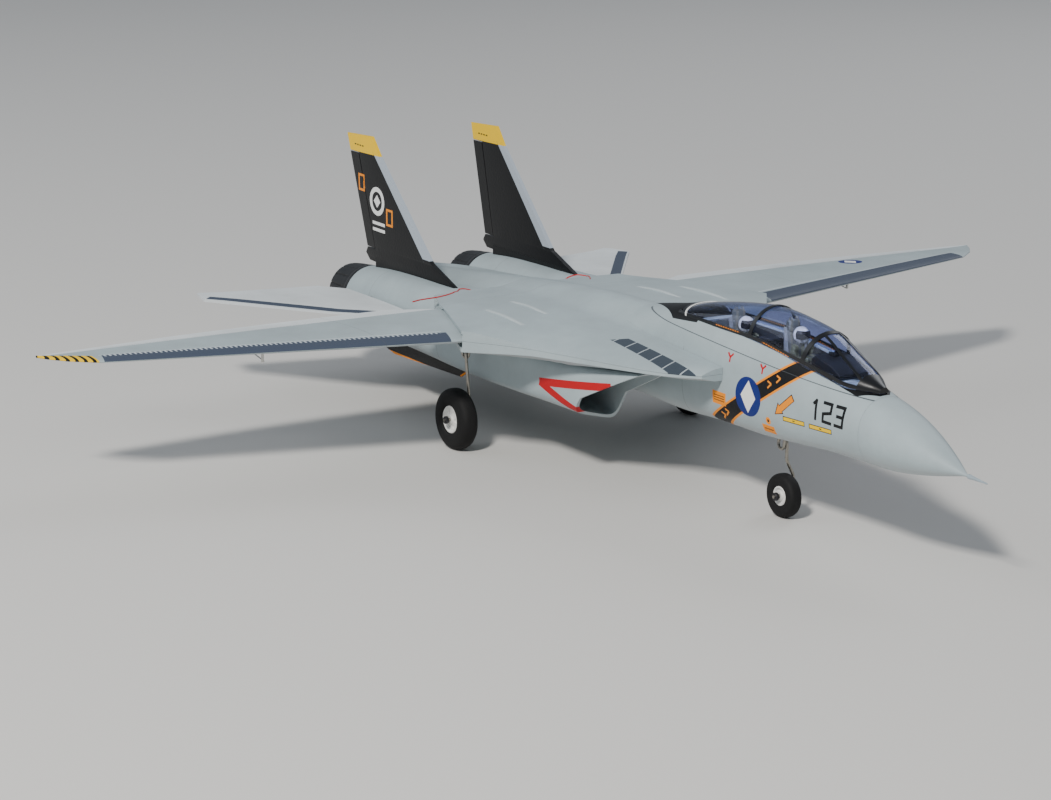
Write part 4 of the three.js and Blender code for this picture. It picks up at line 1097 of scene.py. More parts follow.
NACELLE_FRONT = [
    [165, 95, 25, 163, 120, 96, 6, 0.28],
    [100, 101.5, 31, 157, 116, 86, 6, 0.28],
    [42, 107, 36, 152.5, 113, 81.5, 6, 0.28],
    [-20, 109, 38, 150, 112, 81.4, 5.5, 0.25],
    [-110, 108, 39.5, 150, 113, 80, 5, 0.16],
    [-210, 105, 41, 150, 115, 78.5, 4, 0.06],
    [-300, 102, 42.5, 150, 117, 77.5, 3, 0],
]
NACELLE_REAR = [
    [-300, 102, 42.5, 175, 117, 77.5, 3, 0],
    [-345, 101, 43.5, 173.5, 118, 77, 2.6, 0],
    [-420, 99.5, 44, 172, 118.5, 76, 2.3, 0],
    [-490, 98, 43.5, 169, 119, 75.5, 2.1, 0],
    [-557, 96.6, 43, 162.5, 119, 75.8, 2, 0],
]
WING_LEADING = [[130, -56.8], [673.2, -193], [705, -217], [722, -238], [731, -254.5]]
WING_TRAILING = [[130, -279.4], [408, -279.4], [544, -274.6], [700, -261], [731, -258]]
EDGE_PARTS = [0, 0.004, 0.012, 0.025, 0.045, 0.07, 0.1, 0.14, 0.19, 0.25]


def ease(start, end, value):
    part = min(1, max(0, (value - start) / (end - start)))
    return part * part * (3 - 2 * part)


def glove_half(x):
    return smooth_row(GLOVE_EDGE[:7], x)[0] if x > GLOVE_EDGE[6][0] else straight(GLOVE_EDGE, x)


def spine_hump(x, y, plateau):
    part = min(1, y / straight(SPINE_HALF, x))
    return max(0, smooth_row(SPINE_CREST, x)[0] - plateau) * (1 - part * part) ** 2


def top_height(x, y):
    """Top of the gloves and fairings: a thin rounded front edge, then a blunt fairing edge."""
    fairing = ease(10, -84, x)
    edge = SPLIT_Z + 1.2 + 11.8 * fairing - 5.5 * ease(-150, -300, x)
    plateau = smooth_row(GLOVE_TOP, x)[0]
    inward = max(0, min(1, (glove_half(x) - y) / max(30, glove_half(x) - 50)))
    surface = edge + (plateau - edge) * (1 - (1 - inward) ** (2 - 0.4 * fairing))
    return surface + spine_hump(x, y, surface) * ease(60, 0, x)


def under_height(x, y):
    """Underside of the gloves, sloping down inboard to the nacelles."""
    edge = straight([[212, 165.5], [0, 160], [-83, 154], [-300, 154]], x)
    root = smooth_row([[212, 160], [99, 157], [10, 149], [-83, 137.5], [-179, 125], [-300, 122]], x)[0]
    span = max(20, glove_half(x) - 147)
    return edge + (root - edge) * min(1, max(0, (glove_half(x) - y) / span))


def height_field(name, stations, half, upper, lower):
    """Skin between two height functions over a plan of given half widths, finer near its edges."""
    inner = steps(EDGE_PARTS[-1], 1, 26)[1:]
    reach = [1 - part for part in EDGE_PARTS] + [1 - part for part in inner]
    columns = [-part for part in reach] + reach[:-1][::-1]
    rings = []
    for x in stations:
        wide = half(x)
        top = [(x, part * wide, upper(x, abs(part * wide))) for part in columns]
        under = [(x, part * wide, lower(x, abs(part * wide))) for part in columns]
        rings.append(top + under[::-1])
    return skinned(name, rings)


def both_sides(tool):
    """A tool joined with its mirror image."""
    return joined(tool.name, [tool, mirror_copy(tool, "mirror_tool")])


def root_outline(margin, rear_limit):
    """Wing outline near the root, grown by a margin: straight edges and a round tongue at the pivot."""
    points = [(straight(WING_LEADING, 330) + margin, 330), (straight(WING_LEADING, 205) + margin, 205)]
    for degrees in range(-24, -160, -12):
        turn = math.radians(degrees)
        points.append((PIVOT_X + (52 + margin) * math.cos(turn), PIVOT_Y + (52 + margin) * math.sin(turn)))
    points += [(-242.6 - margin, 172.7 - margin), (-279.4 - margin, 231 - margin), (-279.4 - margin, 330)]
    return [(max(x, rear_limit), y) for x, y in points]


def swept(outline, degrees):
    turn = math.radians(degrees)
    return [(PIVOT_X + (x - PIVOT_X) * math.cos(turn) - (y - PIVOT_Y) * math.sin(turn),
             PIVOT_Y + (x - PIVOT_X) * math.sin(turn) + (y - PIVOT_Y) * math.cos(turn)) for x, y in outline]


def wing_slot():
    """Room that both wing roots sweep through: deep round the pivot, shallow behind it."""
    slot = None
    for degrees in range(0, 49, 8):
        for limit, depth in ((PIVOT_X - 49, 9.3), (-900, 6)):
            outline = swept(root_outline(1.6, limit), degrees)
            sweep_pass = extruded("slot_pass", outline, WING_Z - depth, WING_Z + depth)
            slot = sweep_pass if slot is None else combine(slot, sweep_pass, "UNION")
    return both_sides(slot)


def nacelle_hull(name, table, grow=0.0, count=96, stations=60):
    rings = []
    for x in steps(table[0][0], table[-1][0], stations):
        y, half, top, middle, bottom, squareness, cant = smooth_row(table, x)
        rings.append(rounded_ring(x, y, half, top, middle, bottom, squareness, cant, count, grow))
    return skinned(name, rings)


SHELL_STATIONS = sorted({211, 205, 198, -82.8, -299.7, *steps(190, -299, 84)}, reverse=True)
slot_room = wing_slot()
core_room = nose_core("core_room", 0.35)

upper_shell = height_field(
    "upper_body_shell", SHELL_STATIONS, glove_half, top_height, lambda x, y: SPLIT_Z + 0.15)
combine(upper_shell, slot_room, keep_tool=True)
combine(upper_shell, core_room, keep_tool=True)

lower_shell = height_field(
    "lower_body_shell", SHELL_STATIONS, glove_half, lambda x, y: SPLIT_Z - 0.15, under_height)
TUNNEL_SECTION = [(-57, TUNNEL_ROOF_Z), (57, TUNNEL_ROOF_Z), (65, 60), (-65, 60)]
tunnel = skinned("tunnel_tool", [[(x, y, z) for y, z in TUNNEL_SECTION] for x in (-310, -165)])
combine(lower_shell, tunnel)
BELLY_TABLE = [[-0.3, 50, 94, 2.6, 150], [-90, 45, 106, 2.4, 150],
               [-170, 36, 124, 2.2, 150], [-235, 24, 139, 2, 152]]
belly_rings = []
for belly_x in steps(-0.3, -235, 40):
    half, bottom, squareness, middle = smooth_row(BELLY_TABLE, belly_x)
    belly_rings.append(rounded_ring(belly_x, 0, half, 160, middle, bottom, squareness))
combine(lower_shell, skinned("belly_fairing", belly_rings), "UNION")
combine(lower_shell, slot_room)
combine(lower_shell, core_room)
combine(lower_shell, both_sides(nacelle_hull("nacelle_room", NACELLE_FRONT, 0.3)))
combine(lower_shell, both_sides(block("plate_room", (-200.3, 157.7, 100), (-165.7, 182.3, 146.3))))
pin_room = turned("pin_room", [(0, 5.5), (1, 5.5)], (0, 0, 0.001), (0, 0, 27), 40)
combine(lower_shell, both_sides(moved(pin_room, PIVOT_X, PIVOT_Y, 150)))

VENT_CORNERS = [(47, -101), (198, -107), (206, -84), (58, -81)]
VENT_SLATE = (0.045, 0.06, 0.08)


def vent_marks(look, x, y, z):
    """Dark louvred panel on each glove, with light bars between its louvres."""
    side = look.times(look.size(y), -1.0)
    on_top = look.above(z, 0.168)
    panel = look.times(polygon_mark(look, x, side, VENT_CORNERS), on_top)
    phase = look.math("FRACT", look.times(look.plus(x, look.times(side, 0.25)), 36))
    bar = look.times(panel, look.below(phase, 0.07))
    return [(panel, VENT_SLATE), (bar, (0.42, 0.47, 0.5))]


# Each low ridge on a fairing: its front end, rear end, half width of the painted highlight on its top and
# half width in foam.
RIDGES = (((-93, 104), (-186, 99), 3.2, 4), ((-64, 158), (-162, 152), 3.6, 4.5))


def shell_marks(look, x, y, z):
    marks = vent_marks(look, x, y, z)
    shield = polygon_mark(look, x, y, REAR_SHIELD)
    marks.append((look.times(shield, mark_side(look, x, z, *REAR_SHIELD_EDGE)), INK))
    out = look.size(y)
    on_top = look.above(z, 0.17)
    for start, end, width, _ in RIDGES:
        # The lighter grey laid over the top of each ridge is a painted highlight.
        ridge = look.times(band_mark(look, x, out, start, end, width), on_top)
        marks.append((look.times(ridge, 0.5), (0.52, 0.57, 0.58)))
    return marks


def shell_seams(look, x, y, z):
    """Hinge crease over each wing root and the joint where the nose is glued on."""
    out = look.size(y)
    on_top = look.above(z, 0.17)
    seams = []
    for start, end in (((-218, 183), (-160, 211)), ((-160, 211), (-107, 231)), ((-107, 231), (-52, 254))):
        seams.append(look.times(band_mark(look, x, out, start, end, 0.35), on_top))
    seams.append(look.times(line_mark(look, x, -232, 0.3), on_top))
    return seams


SHELL_PAINT = foam_paint("painted_body_foam", GULL_GREY, shell_marks, shell_seams, pale_belly=True)
settle(upper_shell, SHELL_PAINT, "airframe", "grey_foam", "upper_shell")
settle(lower_shell, SHELL_PAINT, "airframe", "grey_foam", "lower_shell")


def ridge_blister(name, start, end, half, height):
    """Long low blister glued on the fairing, tapered at both ends."""
    rings = []
    for part in steps(0, 1, 28):
        x = start[0] + (end[0] - start[0]) * part
        y = start[1] + (end[1] - start[1]) * part
        swell = max(0.03, math.sin(part * math.pi) ** 0.7)
        base = top_height(x, y)
        ring = []
        for k in range(17):
            angle = k / 16 * math.pi
            ring.append((x, y + math.cos(angle) * half * swell, base + math.sin(angle) * height * swell))
        ring += [(x, y - half * swell, base - 1.5), (x, y + half * swell, base - 1.5)]
        rings.append(ring)
    return skinned(name, rings)


for side_name, sign in (("left", 1), ("right", -1)):
    for number, (start, end, _, half) in enumerate(RIDGES):
        blister = ridge_blister(f"fairing_ridge_{number}_{side_name}", start, end, half, 2.2)
        if sign < 0:
            mirrored(blister)
        settle(blister, SHELL_PAINT, "airframe", "grey_foam")

# ---------------------------------------------------------------- tail deck
# A flat foam beaver tail fills the gap between the engines and thins to a square end. It is cut
# out round both nacelles and both nozzles.
tail_stations = steps(-300, -638, 60)


def deck_half(x):
    return smooth_row([[-300, 75], [-557, 62], [-600, 56], [-638, 46]], x)[0]


def deck_top(x, y):
    plateau = smooth_row([[-300, 170], [-400, 160], [-557, 147], [-638, 139]], x)[0]
    return plateau + spine_hump(x, y, plateau)


def deck_under(x, y):
    return straight([[-300, TUNNEL_ROOF_Z], [-400, 138], [-638, 134]], x)


tail_deck = height_field("tail_deck_skin", tail_stations, deck_half, deck_top, deck_under)
combine(tail_deck, both_sides(nacelle_hull("nacelle_room", NACELLE_REAR, 0.3)))
NOZZLE_Y = 96.6
NOZZLE_Z = 119
nozzle_room = turned(
    "nozzle_room", [(0, 44), (1, 44)], (-550, NOZZLE_Y, NOZZLE_Z), (-700, NOZZLE_Y, NOZZLE_Z), 64)
combine(tail_deck, both_sides(nozzle_room))
settle(tail_deck, SHELL_PAINT, "airframe", "grey_foam", "tail_deck")

# ---------------------------------------------------------------- nacelles
# Each engine tunnel is a foam box with a raked intake that turns into a round pipe. Intake lips
# are left thin, and a flat fin stands in a groove along its top.
DUCT_FRONT = [
    [170, 95, 21.5, 159, 120, 100, 6, 0.28],
    [100, 101.5, 27.5, 153, 116, 90, 6, 0.28],
    [42, 107, 32.5, 148.5, 113, 85.5, 5, 0.28],
    [-20, 109, 34.5, 146, 112, 85.4, 4.5, 0.25],
    [-110, 108, 34.5, 146.5, 113, 84.5, 3.4, 0.16],
    [-210, 104, 35, 148, 115, 83, 2.5, 0.06],
    [-296, 101, 35.6, 153.6, 118, 82.4, 2, 0],
    [-372, 101, 35.6, 153.6, 118, 82.4, 2, 0],
]
DUCT_REAR = [
    [-371.9, 101, 35.6, 153.6, 118, 82.4, 2, 0],
    [-470, 98.5, 35.2, 153.7, 118.5, 83.3, 2, 0],
    [-560, 96.6, 34.5, 153.5, 119, 84.5, 2, 0],
]
INTAKE_RAKE = [(250, 230), (163, 170), (45, 112), (30, 88), (12, 60), (250, 60)]
FIN_Y = 96
FIN_BASE = 171
VENTRAL_Y = 118


def make_nacelle(name):
    body = nacelle_hull(name, NACELLE_FRONT, stations=90)
    combine(body, nacelle_hull("rear_half", NACELLE_REAR, stations=50), "UNION")
    combine(body, extruded("rake_tool", INTAKE_RAKE, -300, 300, upright=True))
    duct = combine(nacelle_hull("duct_front", DUCT_FRONT), nacelle_hull("duct_rear", DUCT_REAR), "UNION")
    combine(body, duct)
    combine(body, block("fin_groove", (-540.3, FIN_Y - 3.8, 163.7), (-359.7, FIN_Y + 3.8, 179)))
    combine(body, block("ventral_groove", (-482.3, VENTRAL_Y - 1.8, 50), (-243.7, VENTRAL_Y + 1.8, 84.3)))
    return body


def nacelle_marks(look, x, y, z):
    """Red warning chevron behind the intake lip, on the outer wall only."""
    out = look.above(look.size(y), 0.118)
    low = look.below(z, 0.158)
    side = look.times(out, low)
    marks = []
    for end in ((98, 136), (36, 94)):
        marks.append((look.times(band_mark(look, x, z, (-40, 115.5), end, 5), side), SIGNAL_RED))
    return marks


def nacelle_seams(look, x, y, z):
    return [line_mark(look, x, -298, 0.4), line_mark(look, x, -490, 0.3)]


NACELLE_PAINT = foam_paint("painted_nacelle_foam", GULL_GREY, nacelle_marks, nacelle_seams, pale_belly=True)
nacelle_left = make_nacelle("nacelle_skin_left")
nacelle_right = mirror_copy(nacelle_left, "nacelle_skin_right")
settle(nacelle_left, NACELLE_PAINT, "airframe", "grey_foam", "nacelle_left")
settle(nacelle_right, NACELLE_PAINT, "airframe", "grey_foam", "nacelle_right")

# ---------------------------------------------------------------- fans and nozzles
# A plastic ducted fan sits in each tunnel: a thin housing, an eight-blade rotor with a rounded
# spinner and an aluminium motor. A black cone of overlapping petals finishes the tail pipe.
FAN_PLASTIC = plastic_paint("fan_black_plastic", (0.02, 0.021, 0.023), 0.4)
MOTOR_ALLOY = metal_paint("motor_alloy_turned", (0.55, 0.56, 0.58), 0.3)
for side_name in ("left", "right"):
    refinish(FAN_PLASTIC, f"fan_housing_{side_name}", f"fan_rotor_{side_name}")
    refinish(MOTOR_ALLOY, f"fan_motor_{side_name}")

NOZZLE_FRONT_X = -557.3
NOZZLE_LENGTH = 55
PETALS = 16


def make_nozzle(name):
    """Cone of petals with grooves between them, open through the middle."""
    def petal(k, part):
        groove = min(abs((k / 160 * PETALS) % 1 - 0.5) * 2, 1)
        return 1 - 0.028 * max(0, groove - 0.8) / 0.2 * min(1, part * 3)

    start = (NOZZLE_FRONT_X, NOZZLE_Y, NOZZLE_Z)
    end = (NOZZLE_FRONT_X - NOZZLE_LENGTH, NOZZLE_Y, NOZZLE_Z)
    outside = [(0, 42.6), (0.02, 43), (0.1, 43), (0.12, 42.3), (0.3, 42),
               (0.33, 41.4), (0.65, 40), (0.95, 37.6), (1, 37)]
    body = turned(name, outside, start, end, 160, petal)
    bore_start = (start[0] + 1, start[1], start[2])
    bore_end = (end[0] - 1, end[1], end[2])
    bore = turned("nozzle_bore", [(0, 35), (0.9, 33.2), (1, 34.5)], bore_start, bore_end, 160)
    return combine(body, bore)


def nozzle_marks(look, x, y, z):
    ring = look.plus(line_mark(look, x, -566, 0.6), line_mark(look, x, -575, 0.5), clamp=True)
    return [(ring, (0.05, 0.052, 0.056))]


NOZZLE_PAINT = plastic_paint("nozzle_black_paint", (0.006, 0.0065, 0.0075), 0.5, nozzle_marks)
nozzle_left = make_nozzle("tail_nozzle_left")
nozzle_right = mirror_copy(nozzle_left, "tail_nozzle_right")
settle(nozzle_left, NOZZLE_PAINT, "airframe", "black_foam", "nozzle_left")
settle(nozzle_right, NOZZLE_PAINT, "airframe", "black_foam", "nozzle_right")

# ---------------------------------------------------------------- wings
# Each wing is one foam moulding over a spar, with a flat tongue that turns on a steel pivot inside
# the body. Its front strip is painted slate and its rear edge white; the flap has its own bay.
WING_THICK = [[130, 16], [260, 15], [650, 7], [731, 3]]
FLAP_INNER = 367
FLAP_OUTER = 646
HINGE_INNER = -247.4
HINGE_OUTER = -254.5
HINGE_GAP = 1.5
SERVO_X = -196
SERVO_Y = 474
CHORD_STEPS = [(1 - math.cos(angle)) / 2 for angle in steps(math.pi, 0, 36)]


def foil_half(part):
    return 2.97 * math.sqrt(part) - 1.26 * part - 3.516 * part ** 2 + 2.843 * part ** 3 - 1.015 * part ** 4


def foil_ring(place, leading, trailing, thickness, edge):
    """Symmetrical section. place turns (chordwise, across) into a point."""
    chord = trailing - leading
    halves = [(leading + chord * part, max(edge, thickness / 2 * foil_half(part)))
              for part in CHORD_STEPS[:-1]]
    above = [place(x, half) for x, half in halves]
    return above + [place(leading, 0)] + [place(x, -half) for x, half in halves[::-1]]


def wing_blank(name):
    rings = []
    for y in [*steps(130, 650, 40), *steps(660, 700, 10), *steps(703, 731, 14)]:
        thickness = straight(WING_THICK, y)
        rings.append(foil_ring(lambda a, b, y=y: (a, y, WING_Z + b), straight(WING_LEADING, y),
                               straight(WING_TRAILING, y), thickness, 0.5))
    return skinned(name, rings)


def flap_bay(name, grow):
    low, high = FLAP_INNER - grow, FLAP_OUTER + grow
    outline = [(HINGE_INNER + grow, low), (HINGE_OUTER + grow, high), (-900, high), (-900, low)]
    return extruded(name, outline, 100, 240)


def make_wing(name):
    blank = wing_blank(name)
    tongue = [*root_outline(0, -900)[:-1], (-290, 231), (-290, 330)]
    keep = joined("wing_keep", [extruded("tongue_plan", tongue, 140, 200),
                                block("outer_plan", (-320, 330, 140), (0, 760, 200))])
    combine(blank, keep, "INTERSECT")
    combine(blank, flap_bay("flap_bay", HINGE_GAP))
    combine(blank, block("servo_pocket", (SERVO_X - 11.8, SERVO_Y - 10.3, 100),
                         (SERVO_X + 11.8, SERVO_Y + 10.3, 166.8)))
    bore = turned("pivot_bore", [(0, 5.5), (1, 5.5)], (PIVOT_X, PIVOT_Y, 120), (PIVOT_X, PIVOT_Y, 200), 40)
    return combine(blank, bore)


SLATE = (0.05, 0.066, 0.1)
WHITE_PAINT = (0.66, 0.70, 0.72)


def wing_marks(look, x, y, z):
    """Slate strip with ticks, white rear edge, striped right tip and a disc on the left wing."""
    out = look.size(y)
    right = look.below(y, 0.0)
    left = look.above(y, 0.0)
    top = look.above(z, WING_Z * MM)
    marks = [(mark_side(look, x, out, (-246, 300), (-251, 646)), WHITE_PAINT)]
    strip = band_mark(look, x, out, (-97, 246), (-202, 668), 14)
    behind = mark_side(look, x, out, (-116, 246), (-215, 668))
    slat = look.times(look.times(strip, look.minus(1.0, behind)), top)
    marks.append((slat, SLATE))
    ticks = look.below(look.math("FRACT", look.times(out, 165)), 0.4)
    rear = band_mark(look, x, out, (-112.5, 250), (-212, 666), 4)
    comb = look.times(look.times(look.times(rear, ticks), slat), right)
    marks.append((comb, (0.5, 0.55, 0.6)))
    edge = band_mark(look, x, out, (-116.5, 246), (-215.5, 668), 0.8)
    marks.append((look.times(edge, top), (0.55, 0.6, 0.63)))
    tip = look.times(look.times(look.above(out, 0.676), right),
                    look.minus(1.0, mark_side(look, x, out, (-206, 660), (-262, 735))))
    marks.append((tip, YELLOW))
    stripes = look.below(look.math("FRACT", look.times(out, 115)), 0.42)
    marks.append((look.times(tip, stripes), INK))
    badge = look.times(left, top)
    marks.append((look.times(disc_mark(look, x, y, (-229, 494), 17), badge), DEEP_BLUE))
    diamond = polygon_mark(look, x, y, [(-216, 494), (-229, 504), (-242, 494), (-229, 484)])
    marks.append((look.times(diamond, badge), CHALK))
    return marks


def wing_seams(look, x, y, z):
    out = look.size(y)
    return [line_mark(look, out, 330, 0.3), band_mark(look, x, out, (-246, 231), (-246, 366), 0.3)]


WING_PAINT = foam_paint("painted_wing_foam", GULL_GREY, wing_marks, wing_seams, pale_belly=True)
wing_left = make_wing("wing_panel_left")
wing_right = mirror_copy(wing_left, "wing_panel_right")
settle(wing_left, WING_PAINT, "wing_left", "grey_foam", "wing_left")
settle(wing_right, WING_PAINT, "wing_right", "grey_foam", "wing_right")

STEEL = metal_paint("plain_steel", (0.50, 0.50, 0.50), 0.32)
refinish(STEEL, "wing_pivot_pin_left", "wing_pivot_pin_right")

# ---------------------------------------------------------------- flaps and their linkage
# Each flap is white foam on a living hinge of tape. A small servo let into the wing's underside
# turns a plastic arm, and a steel rod with a bent end works the horn glued to the flap.


def make_flap(name):
    blade = combine(wing_blank(name), flap_bay("flap_plan", 0), "INTERSECT")
    horn_outline = [(-252, 168), (-258, 167), (-254.5, 152), (-252, 151.2), (-249.5, 152)]
    horn = extruded("flap_horn", horn_outline, 458, 460, upright=True)
    combine(blade, horn, "UNION")
    for height in (154, 158.5, 162):
        radius = 1.2 if height == 154 else 0.7
        hole = turned("horn_hole", [(0, radius), (1, radius)],
                      (-252.2, 450, height), (-252.2, 470, height), 24)
        combine(blade, hole)
    return blade


def flap_seams(look, x, y, z):
    out = look.size(y)
    return [band_mark(look, x, out, (-249.5, 367), (-256.6, 646), 0.3)]


FLAP_PAINT = foam_paint("white_flap_foam", WHITE_PAINT, None, flap_seams)
flap_left = make_flap("flap_panel_left")
flap_right = mirror_copy(flap_left, "flap_panel_right")
settle(flap_left, FLAP_PAINT, "flap_left", "white_foam", "flap_left")
settle(flap_right, FLAP_PAINT, "flap_right", "white_foam", "flap_right")

SERVO_PLASTIC = plastic_paint("servo_case_plastic", (0.03, 0.045, 0.09), 0.35)
ARM_PLASTIC = plastic_paint("nylon_white", (0.72, 0.71, 0.67), 0.5)


def make_servo(name):
    """Servo case with a lid seam, four screw holes, an output boss and the lead's strain relief."""
    case = block(name, (SERVO_X - 11.5, SERVO_Y - 10, 157.5), (SERVO_X + 11.5, SERVO_Y + 10, 166.5))
    rounded_edges(case, 0.8)
    combine(case, block("lid_seam", (SERVO_X - 20, SERVO_Y + 5, 157), (SERVO_X + 20, SERVO_Y + 5.3, 157.9)))
    for dx in (-9.5, 9.5):
        for dy in (-8, 8):
            place = (SERVO_X + dx, SERVO_Y + dy)
            combine(case, turned("screw_hole", [(0, 0.9), (1, 0.9)], (*place, 156.5), (*place, 158.2), 16))
    boss = turned("output_boss", [(0, 3.2), (0.5, 3.2), (0.55, 2.5), (1, 2.5)],
                  (-190, SERVO_Y - 9, 159), (-190, 460.4, 159), 32)
    combine(case, boss, "UNION")
    lead = turned("lead_boot", [(0, 1.8), (1, 1.1)],
                  (SERVO_X - 6, SERVO_Y + 9.5, 160.5), (SERVO_X - 6, SERVO_Y + 10.2, 160.5), 20)
    return combine(case, lead, "UNION")


def make_arm(name):
    outline = [(-192.2, 159), (-187.8, 159), (-188.4, 144.4), (-190, 143.5), (-191.6, 144.4)]
    arm = extruded(name, outline, 458, 460, upright=True)
    hub = turned("arm_hub", [(0, 3.2), (0.85, 3.2), (1, 2.8)], (-190, 458, 159), (-190, 460, 159), 32)
    combine(arm, hub, "UNION")
    for height in (148.5, 152):
        combine(arm, turned("arm_hole", [(0, 0.6), (1, 0.6)], (-190, 450, height), (-190, 470, height), 16))
    return rounded_edges(arm, 0.25, segments=2)


for side_name, sign in (("left", 1), ("right", -1)):
    servo = make_servo("servo_case")
    arm = make_arm("servo_arm")
    if sign < 0:
        for piece in (servo, arm):
            mirrored(piece)
    servo.name = f"servo_case_{side_name}"
    arm.name = f"servo_horn_{side_name}"
    settle(servo, SERVO_PLASTIC, f"wing_{side_name}", "servo_plastic", f"flap_servo_{side_name}")
    settle(arm, ARM_PLASTIC, f"servo_arm_{side_name}", "white_plastic", f"servo_arm_{side_name}")
    refinish(STEEL, f"push_rod_{side_name}")

# ---------------------------------------------------------------- stabilators
# The all-moving tailplanes are thin white foam with a slate front edge. Each is glued to a steel
# shaft that turns in the nacelle.
STABILATOR_OUTLINE = [
    (-339.2, 146.2), (-420.8, 234.6), (-546.6, 331.2), (-570.4, 350.2), (-611, 341), (-616.6, 336.6),
    (-604.4, 309.4), (-577.2, 172), (-537.8, 146.2),
]
STABILATOR_Z = 136
STABILATOR_SECTIONS = [[146, -336, 8], [235, -418, 6.5], [332, -540, 5], [352, -566, 4]]


def make_stabilator(name):
    rings = []
    for y in steps(146, 352, 40):
        leading, thickness = (straight([[row[0], row[c]] for row in STABILATOR_SECTIONS], y)
                              for c in (1, 2))
        rings.append(foil_ring(lambda a, b, y=y: (a, y, STABILATOR_Z + b), leading, -622, thickness, 0.6))
    plan = extruded("stabilator_plan", STABILATOR_OUTLINE, 110, 160)
    body = combine(skinned(name, rings), plan, "INTERSECT")
    socket = turned("shaft_socket", [(0, 3.3), (1, 3.3)],
                    (-475, 140, STABILATOR_Z), (-475, 186, STABILATOR_Z), 32)
    return combine(body, socket)


def stabilator_marks(look, x, y, z):
    out = look.size(y)
    marks = []
    for start, end in (((-341, 140), (-423, 229)), ((-421, 227), (-549, 325)), ((-546, 323), (-573, 345))):
        marks.append((band_mark(look, x, out, start, end, 11), SLATE))
    corners = [(-339.2, 146.2), (-420.8, 234.6), (-546.6, 331.2), (-570, 350)]
    for start, end in zip(corners, corners[1:]):
        marks.append((band_mark(look, x, out, start, end, 2.6), (0.6, 0.64, 0.66)))
    return marks


STABILATOR_PAINT = foam_paint("white_stabilator_foam", WHITE_PAINT, stabilator_marks)
stabilator_left = make_stabilator("tailplane_left")
stabilator_right = mirror_copy(stabilator_left, "tailplane_right")
settle(stabilator_left, STABILATOR_PAINT, "stabilator_left", "white_foam", "stabilator_left")
settle(stabilator_right, STABILATOR_PAINT, "stabilator_right", "white_foam", "stabilator_right")
refinish(STEEL, "stabilator_shaft_left", "stabilator_shaft_right")

# ---------------------------------------------------------------- fins, rudders and strakes
# Two black foam fins stand in grooves on the nacelles, leaning slightly outwards, with a silver
# front edge and a yellow cap. Each has a rudder, and a black strake hangs below each nacelle.
FIN_LEADING = [[171, -323.6], [172, -323.6], [195.8, -389.5], [323.7, -526.9], [346.8, -546.6]]
FIN_TRAILING = [[171, -560.2], [180, -571], [188.4, -566], [342.7, -616.6], [346.8, -617.9]]
FIN_OUTLINE = [
    (-323.6, 172), (-389.5, 195.8), (-526.9, 323.7), (-546.6, 346.8), (-616.6, 342.7), (-566, 188.4),
    (-571, 180), (-560.2, 170.7),
]
FIN_CANT = math.radians(1.8)
RUDDER_BOTTOM = 190
RUDDER_TOP = 318
RUDDER_CHORD = 24
RUDDER_GAP = 1.6


def fin_blade(name):
    rings = []
    for z in [170.7, *steps(172, 196, 8)[1:], *steps(200, 347, 36)]:
        thickness = 7 - 3.2 * (z - 171) / 176
        leading = straight(FIN_LEADING, z) + 3
        trailing = straight(FIN_TRAILING, z)
        front = [(leading - 3.2 * (1 - math.sin(a)), thickness / 2 * math.cos(a))
                 for a in steps(math.pi / 2, 0, 8)]
        rear = [(trailing + 34, thickness / 2), (trailing - 4, 0.9)]
        side = front[1:] + rear
        ring = [(leading, 0)] + side + [(a, -b) for a, b in side[::-1]]
        rings.append([(a, b, z) for a, b in ring])
    plan = extruded("fin_plan", FIN_OUTLINE, -20, 20, upright=True)
    blade = combine(skinned(name, rings), plan, "INTERSECT")
    lean = Matrix.Rotation(-FIN_CANT, 4, "X")
    base = Matrix.Translation((0, 0, FIN_BASE * MM))
    blade.data.transform(Matrix.Translation((0, FIN_Y * MM, 0)) @ base @ lean @ base.inverted())
    return blade


def rudder_plan(name, grow):
    rear = [[188.4, -566], [342.7, -616.6]]
    low, high = RUDDER_BOTTOM, RUDDER_TOP
    reach = RUDDER_CHORD + grow
    outline = [(straight(rear, low) + reach, low - grow), (straight(rear, high) + reach, high + grow),
               (-900, high + grow), (-900, low - grow)]
    return extruded(name, outline, 0, 200, upright=True)


def make_fin(name):
    blade = fin_blade(name)
    combine(blade, block("fin_tab", (-540, FIN_Y - 3.5, 164), (-360, FIN_Y + 3.5, 178)), "UNION")
    return combine(blade, rudder_plan("rudder_bay", RUDDER_GAP))


def fin_marks(look, x, y, z):
    """Silver front edge, yellow cap and plain shapes on the outer face of the right fin."""
    strip = mark_side(look, x, z, (-407, 195), (-545, 326))
    high = look.above(z, 0.199)
    marks = [(look.times(look.minus(1.0, strip), high), (0.38, 0.43, 0.49))]
    cap = mark_side(look, x, z, (-500, 322.5), (-640, 319))
    marks.append((look.minus(1.0, cap), YELLOW))
    for dash_x in (-593, -586, -579, -572):
        marks.append((box_mark(look, x, z, (dash_x, 330), (2.2, 1)), INK))
    lean = look.times(look.minus(z, 0.171), math.tan(FIN_CANT))
    outer = look.below(look.plus(y, lean), -FIN_Y * MM)
    shapes = [(disc_mark(look, x, z, (-534, 258), 20), CHALK),
              (disc_mark(look, x, z, (-534, 258), 13.5), INK),
              (polygon_mark(look, x, z, [(-534, 249), (-525, 258), (-534, 267), (-543, 258)]), CHALK)]
    for step in (227, 218):
        shapes.append((box_mark(look, x, z, (-530, step), (17, 2.2)), CHALK))
    for middle in ((-578, 278), (-500, 240)):
        shapes.append((box_mark(look, x, z, middle, (9, 12)), ORANGE))
        shapes.append((box_mark(look, x, z, middle, (5.6, 8.8)), INK))
    marks += [(look.times(mask, outer), paint) for mask, paint in shapes]
    return marks


